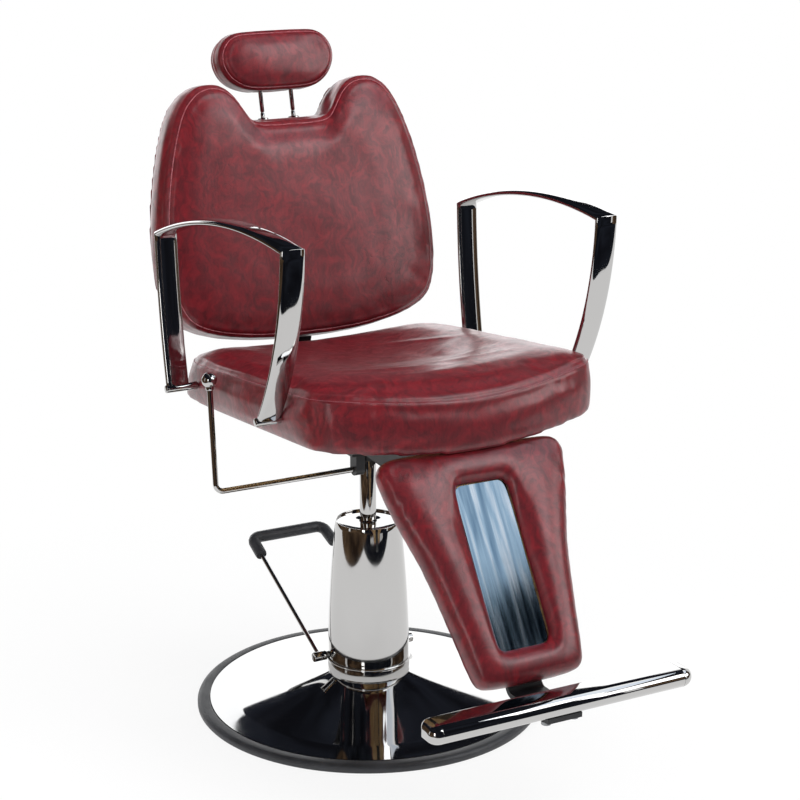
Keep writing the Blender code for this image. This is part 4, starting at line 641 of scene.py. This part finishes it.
def foam(name, node_name, voxel, lean):
    """A pad started from its solid: the shell at an even mesh, whose grid leans as the pad does."""
    level = Matrix.Rotation(lean, 4, "X")
    mesh = bmesh.new()
    mesh.from_mesh(nodes[node_name].data)
    bmesh.ops.remove_doubles(mesh, verts=mesh.verts, dist=1e-5)
    bmesh.ops.transform(mesh, matrix=level, verts=mesh.verts)
    pad = placed(name, mesh)
    remesh = pad.modifiers.new("even_mesh", "REMESH")
    remesh.mode = "VOXEL"
    remesh.voxel_size = voxel
    settle(pad)
    pad.data.transform(level.inverted())
    return pad


def settle(pad):
    """Makes what a pad's modifiers give its own mesh, and takes them off."""
    graph = bpy.context.evaluated_depsgraph_get()
    data = bpy.data.meshes.new_from_object(pad.evaluated_get(graph))
    pad.modifiers.clear()
    pad.data = data


def eased(pad, rounds):
    """Smooths a pad's mesh, and lets out almost what it takes in, so that the pad keeps its size."""
    mesh = bmesh.new()
    mesh.from_mesh(pad.data)
    axes = {"use_axis_" + axis: True for axis in "xyz"}
    for _ in range(rounds):
        for factor in (0.5, -0.46):
            bmesh.ops.smooth_vert(mesh, verts=mesh.verts, factor=factor, **axes)
    mesh.to_mesh(pad.data)
    mesh.free()


def inflate(pad, held, most, pressure=4.0):
    """Fills a pad as foam fills its cover: cloth under pressure, with the held places left still."""
    rest = [v.co.copy() for v in pad.data.vertices]
    group = pad.vertex_groups.new(name="held")
    for vertex in pad.data.vertices:
        group.add([vertex.index], held(vertex.co, vertex.normal), "REPLACE")
    cloth = pad.modifiers.new("cover", "CLOTH")
    for name, value in VINYL_CLOTH.items():
        setattr(cloth.settings, name, value)
    cloth.settings.vertex_group_mass = "held"
    cloth.settings.use_pressure = True
    cloth.settings.uniform_pressure_force = pressure
    cloth.settings.effector_weights.gravity = 0.0
    cloth.collision_settings.use_collision = False
    cloth.point_cache.frame_start, cloth.point_cache.frame_end = 1, CLOTH_FRAMES
    for step in range(1, CLOTH_FRAMES + 1):
        scene.frame_set(step)
    settle(pad)
    scene.frame_set(1)
    for vertex, start in zip(pad.data.vertices, rest):
        shift = vertex.co - start
        if shift.length > most:
            vertex.co = start + shift.normalized() * most


def finer(pad):
    """One level of subdivision, made the pad's own."""
    smooth = pad.modifiers.new("finer", "SUBSURF")
    smooth.levels = smooth.render_levels = 1
    settle(pad)


def sewn_in(pad, relief, seams=(), depth=0.0, width=1.0):
    """Raises or lowers a cover by relief(point, normal), and draws it in along the seams laid on it."""
    stops = [point for seam in seams for point, _ in laid_on(pad, seam, 0.0)]
    tree = kdtree.KDTree(len(stops))
    for i, point in enumerate(stops):
        tree.insert(point, i)
    tree.balance()
    moves = []
    for vertex in pad.data.vertices:
        gap = tree.find(vertex.co)[2] if stops else math.inf
        sunk = math.exp(-((gap / width) ** 2))
        swollen = 0.45 * math.exp(-(((gap - width * 3) / (width * 1.6)) ** 2))
        groove = depth * (swollen - sunk)
        moves.append(vertex.co + vertex.normal * (groove + relief(vertex.co, vertex.normal)))
    for vertex, spot in zip(pad.data.vertices, moves):
        vertex.co = spot


def dressed(pad, finish, body, replaced):
    """A finished pad: its cover, what it rides on, and the solid that it stands for."""
    pad.data.materials.clear()
    pad.data.materials.append(finish)
    pad.data.shade_smooth()
    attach(pad, body)
    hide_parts(*replaced)


def laid_on(pad, line, lift):
    """A line moved to the nearest places on a pad's surface, and lifted off it."""
    laid = []
    for point in line:
        _, spot, normal, _ = pad.closest_point_on_mesh(point)
        laid.append((spot + normal * lift, normal))
    return laid


def stitches(name, line, body):
    """A row of stitches along a line of (point, normal) pairs, each a short bead of thread."""
    mesh = bmesh.new()
    points = [point for point, _ in line]
    size = Matrix.Diagonal((STITCH_LENGTH / 2, THREAD / 2, THREAD / 2, 1.0))
    for i in range(0, len(line), 2):
        point, normal = line[i]
        ahead = (points[(i + 1) % len(points)] - points[i - 1]).normalized()
        aside = normal.cross(ahead).normalized()
        turn = Matrix((ahead, aside, normal)).transposed().to_4x4()
        spot = Matrix.Translation(point) @ turn @ size
        bmesh.ops.create_uvsphere(mesh, u_segments=6, v_segments=5, radius=1.0, matrix=spot)
    finished(name, mesh, thread, body)


# Half of the seat's outline, from the middle of its back edge to the middle of its bowed front.
wide, bow = SEAT_HALF_WIDTH, SEAT_FRONT - SEAT_CORNER
seat_half = [(0.0, -SEAT_BACK), (wide * 0.45, -SEAT_BACK)]
seat_half += [(wide * u, -SEAT_BACK * v) for u, v in ((0.80, 0.975), (0.94, 0.85), (0.985, 0.55))]
seat_half += [(wide, 0.02), (wide, SEAT_CORNER * 0.55), (wide, SEAT_CORNER)]
for u, v in ((0.975, 0.34), (0.90, 0.57), (0.70, 0.76), (0.36, 0.94), (0.0, 1.0)):
    seat_half.append((wide * u, SEAT_CORNER + bow * v))


def seat_edge(below):
    """The top edge of the seat's wall, or a line that far below it."""
    edge = []
    for x, along in curved(seat_half):
        front = along * (0.80 if along < 0 else 1.0)
        share = (front + SEAT_BACK) / (SEAT_BACK + SEAT_FRONT)
        dip = min(1.0, max(0.0, (front - SEAT_FRONT * 0.55) / (SEAT_FRONT * 0.45)))
        drop = SEAT_LIP_DROP * dip**2 * max(0.0, 1 - (x / SEAT_HALF_WIDTH) ** 2)
        edge.append(SEAT.at(x, front, SEAM_BACK + (SEAM_FRONT - SEAM_BACK) * share - drop - below))
    return evenly(edge, STITCH_PITCH / 2)


# The folds that sitting leaves in the top: each from (x, along) to (x, along), half width, height.
SEAT_FOLDS = (
    (-0.16, 0.225, 0.02, 0.262, 0.012, 0.0022),
    (-0.02, 0.232, 0.17, 0.225, 0.013, 0.0022),
    (-0.14, 0.170, 0.05, 0.215, 0.014, 0.0020),
    (0.02, 0.190, 0.18, 0.160, 0.013, 0.0020),
    (0.06, 0.120, 0.19, 0.020, 0.013, 0.0018),
    (-0.19, 0.100, -0.10, 0.160, 0.012, 0.0016),
    (0.08, -0.060, 0.19, 0.060, 0.012, 0.0016),
)


def uneven(spot, waves, height):
    """Low swells in a cover, of a height, with so many waves a metre along each of a pad's own axes."""
    return noise.noise(Vector([place * wave for place, wave in zip(spot, waves)])) * height


def seat_relief(point, normal):
    x, along, out = SEAT.of(point)
    top = max(0.0, normal.dot(SEAT.out) - 0.5) * 2
    raised = 0.0
    for x0, a0, x1, a1, width, height in SEAT_FOLDS:
        run = Vector((x1 - x0, a1 - a0))
        away = Vector((x - x0, along - a0))
        share = min(1.0, max(0.0, away.dot(run) / run.length_squared))
        gap = (away - run * share).length
        raised += height * math.exp(-((gap / width) ** 2)) * math.sin(math.pi * min(1.0, 0.15 + share * 0.85))
    slack = uneven((x, along, out), (9, 11, 9), SLACK)
    worked = uneven((x, along, out), (34, 40, 30), WORKED)
    outside = min(1.0, max(0.0, (out - 0.004) / 0.020))
    return top * raised + (slack + worked + FOAM_REGAIN) * outside


def seat_held(point, normal):
    x, along, out = SEAT.of(point)
    facing = normal.dot(SEAT.out)
    outward = Vector((x, along - SEAT_MIDDLE)).normalized().dot(Vector((normal.x, normal.dot(SEAT.along))))
    return 1.0 if facing < -0.3 or (facing < 0.25 and outward < 0.1) or out < SEAT_HELD_HEIGHT else 0.0


seat = foam("seat_upholstery", "seat_cushion", SEAT_VOXEL, SEAT_TILT)
eased(seat, 20)
inflate(seat, seat_held, SEAT_SWELL, SEAT_PRESSURE)
eased(seat, 4)
finer(seat)
sewn_in(seat, seat_relief, [seat_edge(0.0)], 0.0014, 0.0026)
dressed(seat, vinyl, "seat", ["seat_cushion"])
stitches("seat_top_stitching", laid_on(seat, seat_edge(SEAT_STITCH_DROP), THREAD_LIFT), "seat")

# ---- Arms ----
# Each arm is one flat-oval steel tube, bent, mitred and welded at the two top corners, polished and
# chromed. A round boss at each foot takes the stud that fixes it through the seat's wall.
ARM_WIDTH = 0.040
ARM_THICKNESS = 0.011
ARM_FRONT_X = 0.277
ARM_BACK_X = 0.287
ARM_FRONT_TOP = (-0.2935, 0.880)
ARM_FRONT_MID = (-0.268, 0.734)
ARM_FRONT_FOOT = (-0.203, 0.600)
ARM_ARCH_MID = (-0.070, 0.8845)
ARM_BACK_TOP = (0.168, 0.829)
ARM_BACK_MID = (0.158, 0.700)
ARM_BACK_FOOT = (0.137, 0.570)
ARM_BOSS_RADIUS = 0.0068
ARM_BOSS_REACH = 0.252
ARM_BOSS_PROUD = 0.002
OVAL_POINTS = 40
FLATNESS = 3.2
ROUNDNESS = 2.2


def arc(first, middle, last, steps):
    """Points on the circle through three (y, z) points."""
    a, b, c = Vector(first), Vector(middle), Vector(last)
    double = 2 * ((b - a).x * (c - a).y - (b - a).y * (c - a).x)
    ab, ac = (b - a).length_squared, (c - a).length_squared
    across = Vector(((c - a).y * ab - (b - a).y * ac, (b - a).x * ac - (c - a).x * ab)) / double
    centre = a + across
    sweep = -(a - centre).angle_signed(c - centre)
    turned = [Matrix.Rotation(sweep * k / steps, 2) @ (a - centre) for k in range(steps + 1)]
    return [centre + spoke for spoke in turned]


def ring(mesh, spots):
    """A closed ring of new edges through points."""
    corners = [mesh.verts.new(spot) for spot in spots]
    return [mesh.edges.new(pair) for pair in zip(corners, corners[1:] + corners[:1])]


def skinned(mesh, rings):
    """Joins a row of rings into a solid."""
    for first, second in zip(rings, rings[1:]):
        bmesh.ops.bridge_loops(mesh, edges=first + second)
    for end in (rings[0], rings[-1]):
        bmesh.ops.edgeloop_fill(mesh, edges=end)
    return mesh


def barred(line, section, across):
    """A bar of one section, given as (across, out) points, along a line, mitred where the line bends."""
    mesh = bmesh.new()
    rings = []
    for i, point in enumerate(line):
        before = (point - line[i - 1]).normalized() if i else (line[1] - point).normalized()
        after = (line[i + 1] - point).normalized() if i < len(line) - 1 else before
        mean = (before + after).normalized()
        out = mean.cross(across) / max(0.4, mean.dot(before))
        rings.append(ring(mesh, [point + across * u + out * v for u, v in section]))
    return skinned(mesh, rings)


oval = []
for k in range(OVAL_POINTS):
    angle = math.tau * (k + 0.5) / OVAL_POINTS
    u, v = math.cos(angle), math.sin(angle)
    flat = math.copysign(abs(u) ** (2 / FLATNESS), u) * ARM_WIDTH / 2
    round_side = math.copysign(abs(v) ** (2 / ROUNDNESS), v) * ARM_THICKNESS / 2
    oval.append((flat, round_side))

arm_line = arc(ARM_FRONT_FOOT, ARM_FRONT_MID, ARM_FRONT_TOP, 20)
arm_line += arc(ARM_FRONT_TOP, ARM_ARCH_MID, ARM_BACK_TOP, 32)[1:]
arm_line += arc(ARM_BACK_TOP, ARM_BACK_MID, ARM_BACK_FOOT, 20)[1:]
for side, name in SIDES:
    line = []
    for y, z in arm_line:
        share = (y - ARM_FRONT_FOOT[0]) / (ARM_BACK_FOOT[0] - ARM_FRONT_FOOT[0])
        line.append(Vector((side * (ARM_FRONT_X + (ARM_BACK_X - ARM_FRONT_X) * share), y, z)))
    arm = softened(barred(line, oval, Vector((1.0, 0.0, 0.0))), 0.0006)
    for x, (y, z) in ((ARM_FRONT_X, ARM_FRONT_FOOT), (ARM_BACK_X, ARM_BACK_FOOT)):
        reach = sorted((side * ARM_BOSS_REACH, side * (x + ARM_WIDTH / 2 + ARM_BOSS_PROUD)))
        boss = crossways(ARM_BOSS_RADIUS, *reach, y, z, 0.0014)
        data = bpy.data.meshes.new("boss")
        boss.to_mesh(data)
        boss.free()
        arm.from_mesh(data)
        bpy.data.meshes.remove(data)
    finished(f"armrest_{name}", arm, chrome, "seat", [f"arm_{name}"])

# ---- Recline lever ----
# A bent chromed rod with a ball screwed on its end, at the sitter's right hand. It turns in a bracket
# under the seat and lets the backrest go.
LEVER_Y = -0.016
LEVER_Z = 0.431
LEVER_X = -0.287
LEVER_RADIUS = 0.0048
LEVER_BEND = 0.013
LEVER_START = -0.0192
BALL_RADIUS = 0.0125
BALL_NECK = 0.004
BALL_Y = 0.001
BALL_Z = 0.6165

ball = Vector((LEVER_X, BALL_Y, BALL_Z))
corner = Vector((LEVER_X, LEVER_Y, LEVER_Z))
start = Vector((LEVER_START, LEVER_Y, LEVER_Z))
up = (ball - corner).normalized()
rod = tube(bent([start, corner, ball - up * (BALL_RADIUS - BALL_NECK)], LEVER_BEND), LEVER_RADIUS)
finished("recline_lever_rod", rod, chrome, "recline_handle", ["recline_lever"])
neck_foot = -BALL_RADIUS - BALL_NECK
knob_profile = [(0.0, neck_foot), (0.0062, neck_foot), (0.0066, neck_foot + 0.001)]
for k in range(25):
    angle = math.radians(-58 + 148 * k / 24)
    knob_profile.append((max(0.0, BALL_RADIUS * math.cos(angle)), BALL_RADIUS * math.sin(angle)))
knob = spun(knob_profile, 48)
bmesh.ops.rotate(knob, cent=(0, 0, 0), matrix=up.to_track_quat("Z", "Y").to_matrix(), verts=knob.verts)
bmesh.ops.translate(knob, vec=ball, verts=knob.verts)
finished("recline_lever_knob", knob, chrome, "recline_handle", ["lever_ball"])

# ---- Backrest ----
# A board with full shoulders and a notch between them, padded in front. The front panel is crowned,
# and a smooth wall is sewn to it with a raised seam. A flat padded panel closes the back.
BACK_FOOT = (0.211, 0.6538)
BACK_LEAN = math.atan2(0.2086, 0.978)
BACK_DEPTH = 0.086
BACK_MIDDLE = 0.165
BACK_SEAM_SHARE = (0.972, 0.968)
BACK_SEAM_STEP = 0.003
BACK_VOXEL = 0.006
BACK_SWELL = 0.0025
BACK_PRESSURE = 2.0
NOTCH_HALF_WIDTH = 0.22
NOTCH_LEVEL = 0.30
REAR_VOXEL = 0.005
SEAM_RADIUS = 0.0009
BACK = Face(
    BACK_FOOT,
    (math.sin(BACK_LEAN), math.cos(BACK_LEAN)),
    (-math.cos(BACK_LEAN), math.sin(BACK_LEAN)),
)

# Half of the backrest's outline, from the middle of its foot round the shoulder and into the notch.
back_half = [(0.0, -0.041), (0.080, -0.039), (0.165, -0.027), (0.222, -0.006), (0.247, 0.025)]
back_half += [(0.2585, 0.080), (0.257, 0.170), (0.243, 0.255), (0.222, 0.330), (0.200, 0.376)]
back_half += [(0.168, 0.402), (0.130, 0.402), (0.104, 0.383), (0.086, 0.354), (0.072, 0.339)]
back_half += [(0.040, 0.335), (0.0, 0.335)]


def seam_cord(name, pad, line, body):
    """A raised seam: the turned edge of the cover, sunk partly in the pad's surface, in the pale paint of a
    painted highlight.
    """
    points = [point for point, _ in laid_on(pad, line, SEAM_RADIUS * 0.25)]
    count = len(points)
    for _ in range(3):
        points = [(points[i - 1] + p * 2 + points[(i + 1) % count]) / 4 for i, p in enumerate(points)]
    finished(name, tube(points, SEAM_RADIUS, 12, loop=True), seam_highlight_paint, body)


def back_relief(point, normal):
    x, along, out = BACK.of(point)
    slack = uneven((x, along, out), (7, 8, 8), 0.0014)
    return slack + uneven((x, along, out), (30, 30, 30), WORKED) + FOAM_REGAIN


def back_held(point, normal):
    x, along, out = BACK.of(point)
    facing = normal.dot(BACK.out)
    outward = Vector((x, along - BACK_MIDDLE)).dot(Vector((normal.x, normal.dot(BACK.along))))
    behind = facing < -0.3 or out < -BACK_DEPTH * 0.8
    hollow = facing < 0.25 and outward < 0.0 and abs(x) < NOTCH_HALF_WIDTH and along < NOTCH_LEVEL
    return 1.0 if behind or hollow else 0.0


back = foam("back_upholstery", "back_cushion", BACK_VOXEL, BACK_LEAN)
eased(back, 14)
inflate(back, back_held, BACK_SWELL, BACK_PRESSURE)
eased(back, 4)
finer(back)
back_line = []
for x, along in curved(back_half):
    drawn_in = BACK_MIDDLE + (along - BACK_MIDDLE) * BACK_SEAM_SHARE[1]
    back_line.append(BACK.at(x * BACK_SEAM_SHARE[0], drawn_in))
back_line = evenly(back_line, BACK_SEAM_STEP)
sewn_in(back, back_relief, [back_line], 0.0016, 0.003)
dressed(back, vinyl, "backrest", ["back_cushion"])
seam_cord("back_front_seam", back, back_line, "backrest")

rear = foam("back_rear_upholstery", "back_panel", REAR_VOXEL, BACK_LEAN)
eased(rear, 10)
finer(rear)
dressed(rear, vinyl, "backrest", ["back_panel"])

refinish(chrome, "post_ferrule_left", "post_ferrule_right")

# ---- Headrest ----
# A small bean-shaped pad on two notched chromed posts, which slide in the top of the backrest. Its
# wall is sewn to the front and back panels with raised seams.
HEAD_CENTRE = 0.4430
HEAD_THICKNESS = 0.072
HEAD_FILL = 0.0028
HEAD_SEAM_STEP = 0.0025
HEAD_VOXEL = 0.004
PAD_SWELL = 0.004
POST_X = 0.0296
POST_DEPTH = 0.0568
POST_RADIUS = 0.0040
POST_BOTTOM = 0.205
POST_TOP = 0.465
NOTCH_FIRST = 0.235
NOTCH_PITCH = 0.015
NOTCH_COUNT = 9
NOTCH_DEPTH = 0.0010
NOTCH_HALF_MOUTH = 0.0017
NOTCH_HALF_FLOOR = 0.0008

# Half of the headrest's outline, from the middle of its top to the middle of its foot.
head_half = [(0.0, 0.0460), (0.045, 0.0455), (0.078, 0.0425), (0.098, 0.0270), (0.1045, 0.0050)]
head_half += [(0.0970, -0.0180), (0.0790, -0.0350), (0.0520, -0.0440), (0.0, -0.0460)]


def head_relief(point, normal):
    x, along, out = BACK.of(point)
    return uneven((x, along, out), (16, 18, 16), SLACK) + HEAD_FILL


def head_held(point, normal):
    x, along, out = BACK.of(point)
    return 1.0 if abs(x) < 0.05 and abs(out + POST_DEPTH) < 0.012 else 0.0


head = foam("headrest_upholstery", "headrest_pad", HEAD_VOXEL, BACK_LEAN)
eased(head, 12)
inflate(head, head_held, PAD_SWELL)
finer(head)
head_lines = []
for share in (0.35, -0.16):
    out = HEAD_THICKNESS * share - POST_DEPTH
    line = [BACK.at(x, HEAD_CENTRE + along, out) for x, along in curved(head_half)]
    head_lines.append(evenly(line, HEAD_SEAM_STEP))
sewn_in(head, head_relief, head_lines, 0.0016, 0.0026)
dressed(head, vinyl, "headrest", ["headrest_pad"])
for line, name in zip(head_lines, ("front", "rear")):
    seam_cord(f"headrest_{name}_seam", head, line, "headrest")

for side, name in SIDES:
    core = POST_RADIUS - NOTCH_DEPTH
    profile = [(0.0, POST_BOTTOM), (core, POST_BOTTOM), (POST_RADIUS, POST_BOTTOM + NOTCH_DEPTH)]
    for k in range(NOTCH_COUNT):
        level = NOTCH_FIRST + NOTCH_PITCH * k
        profile += [(POST_RADIUS, level - NOTCH_HALF_MOUTH), (core, level - NOTCH_HALF_FLOOR)]
        profile += [(core, level + NOTCH_HALF_FLOOR), (POST_RADIUS, level + NOTCH_HALF_MOUTH)]
    profile += [(POST_RADIUS, POST_TOP), (0.0, POST_TOP)]
    post = spun(profile, 32)
    turn = Matrix.Translation(BACK.at(side * POST_X, 0.0, -POST_DEPTH)) @ Matrix.Rotation(-BACK_LEAN, 4, "X")
    bmesh.ops.transform(post, matrix=turn, verts=post.verts)
    solid = f"headrest_post_{name}"
    finished(f"headrest_chrome_post_{name}", post, chrome, "headrest", [solid])

# ---- Legrest ----
# A board padded like a frame round a recessed plate of polished steel. The cover is one piece, pulled
# over the roll of foam and into the opening.
LEG_TOP = (-0.3706, 0.5066)
LEG_SLOPE = math.atan2(0.5362, 0.8441)
LEG_BACK = 0.0283
WINDOW_HALF_WIDTH = 0.046
WINDOW_START = 0.001
WINDOW_LENGTH = 0.262
WINDOW_MARGIN = 0.006
TUCK = 0.0070
TUCK_END = 0.03
FLARE = 0.0085
FLARE_END = 0.11
FLARE_START_X = 0.09
LEG_VOXEL = 0.005
LEG = Face(
    LEG_TOP,
    (-math.sin(LEG_SLOPE), -math.cos(LEG_SLOPE)),
    (-math.cos(LEG_SLOPE), math.sin(LEG_SLOPE)),
)


def leg_relief(point, normal):
    x, along, out = LEG.of(point)
    slack = uneven((x, along, out), (12, 10, 12), SLACK)
    worked = uneven((x, along, out), (42, 42, 42), WORKED)
    tuck = TUCK * max(0.0, -normal.dot(LEG.along)) ** 2 if along < TUCK_END else 0.0
    flare = FLARE * max(0.0, 1.0 - along / FLARE_END) * normal.x**2 if abs(x) > FLARE_START_X else 0.0
    return slack + worked + tuck + flare + FOAM_REGAIN


def leg_held(point, normal):
    x, along, out = LEG.of(point)
    lower = WINDOW_START + WINDOW_LENGTH + WINDOW_MARGIN
    opening = abs(x) < WINDOW_HALF_WIDTH + WINDOW_MARGIN and WINDOW_START - WINDOW_MARGIN < along < lower
    return 1.0 if normal.dot(LEG.out) < -0.3 or out < -LEG_BACK * 0.7 or opening else 0.0


leg = foam("legrest_upholstery", "legrest_pad", LEG_VOXEL, LEG_SLOPE)
eased(leg, 12)
inflate(leg, leg_held, PAD_SWELL)
finer(leg)
sewn_in(leg, leg_relief)
dressed(leg, vinyl, "legrest", ["legrest_pad"])

# Stainless sheet, polished along its length: a cool, half-clear mirror with drawn streaks.
POLISH_LENGTH = 0.2
POLISH_WIDTH = 0.01111
polished, tree, shader, place = material("polished_stainless")
drawn = node(tree, "Mapping", {"Vector": place, "Scale": (POLISH_LENGTH / POLISH_WIDTH, 1.0, 1.0)})
streak = node(tree, "TexNoise", {"Vector": drawn, "Scale": 1 / POLISH_LENGTH, "Detail": 5.0, "Distortion": 0.4})
tone = node(tree, "ValToRGB", {"Fac": streak}, [(0.28, "#2c3d4d"), (0.50, "#4e5e6b"), (0.72, "#777c82")])
gloss = node(tree, "MapRange", {0: streak, 1: 0.3, 2: 0.7, 3: 0.06, 4: 0.15})
bump = node(tree, "Bump", {"Height": streak, "Strength": 0.12, "Distance": 0.001})
feed(shader, {"Base Color": tone, "Metallic": 1.0, "Roughness": gloss, "Normal": bump})
feed(shader, {"Anisotropic": 0.5})
refinish(polished, "legrest_insert")

# ---- Footrest ----
# A chromed bar, flat on top and half round in front, with domed caps pressed in its ends. Two bolts
# fix it on the legrest's bent strut.
FOOT_Y = -0.6135
FOOT_Z = 0.235
FOOT_HALF_LENGTH = 0.2095
FOOT_DEPTH = 0.046
FOOT_HEIGHT = 0.030
FOOT_BACK_RADIUS = 0.005
FOOT_CAP = 0.019
CAP_SEAM = 0.0006
CAP_STEPS = 12
CAP_END_SHARE = 0.25

half_y, half_z = FOOT_DEPTH / 2, FOOT_HEIGHT / 2
foot_section = []
for k in range(25):
    angle = math.radians(90 + 180 * k / 24)
    foot_section.append((-half_y + half_z + half_z * math.cos(angle), half_z * math.sin(angle)))
for side, first in ((-1, 270), (1, 0)):
    for k in range(9):
        angle = math.radians(first + 90 * k / 8)
        y = half_y - FOOT_BACK_RADIUS + FOOT_BACK_RADIUS * math.cos(angle)
        foot_section.append((y, side * (half_z - FOOT_BACK_RADIUS) + FOOT_BACK_RADIUS * math.sin(angle)))


def foot_ring(mesh, x, share=1.0):
    """One section of the footrest bar, drawn in towards its middle by a share."""
    return ring(mesh, [(x, FOOT_Y + y * share, FOOT_Z + z * share) for y, z in foot_section])


bar = bmesh.new()
skinned(bar, [foot_ring(bar, x) for x in (-FOOT_HALF_LENGTH, 0.0, FOOT_HALF_LENGTH)])
finished("footrest_chrome_bar", softened(bar, 0.0005), chrome, "legrest", ["footrest_bar"])
for side, name in SIDES:
    cap = bmesh.new()
    rings = [foot_ring(cap, side * FOOT_HALF_LENGTH)]
    for k in range(1, CAP_STEPS):
        angle = math.radians(90 * k / CAP_STEPS)
        x = FOOT_HALF_LENGTH + CAP_SEAM + FOOT_CAP * math.sin(angle)
        rings.append(foot_ring(cap, side * x, CAP_END_SHARE + (1 - CAP_END_SHARE) * math.cos(angle)))
    skinned(cap, rings)
    finished(f"footrest_dome_{name}", cap, chrome, "legrest", [f"footrest_cap_{name}"])
refinish(zinc, "footrest_bolt_left", "footrest_bolt_right")
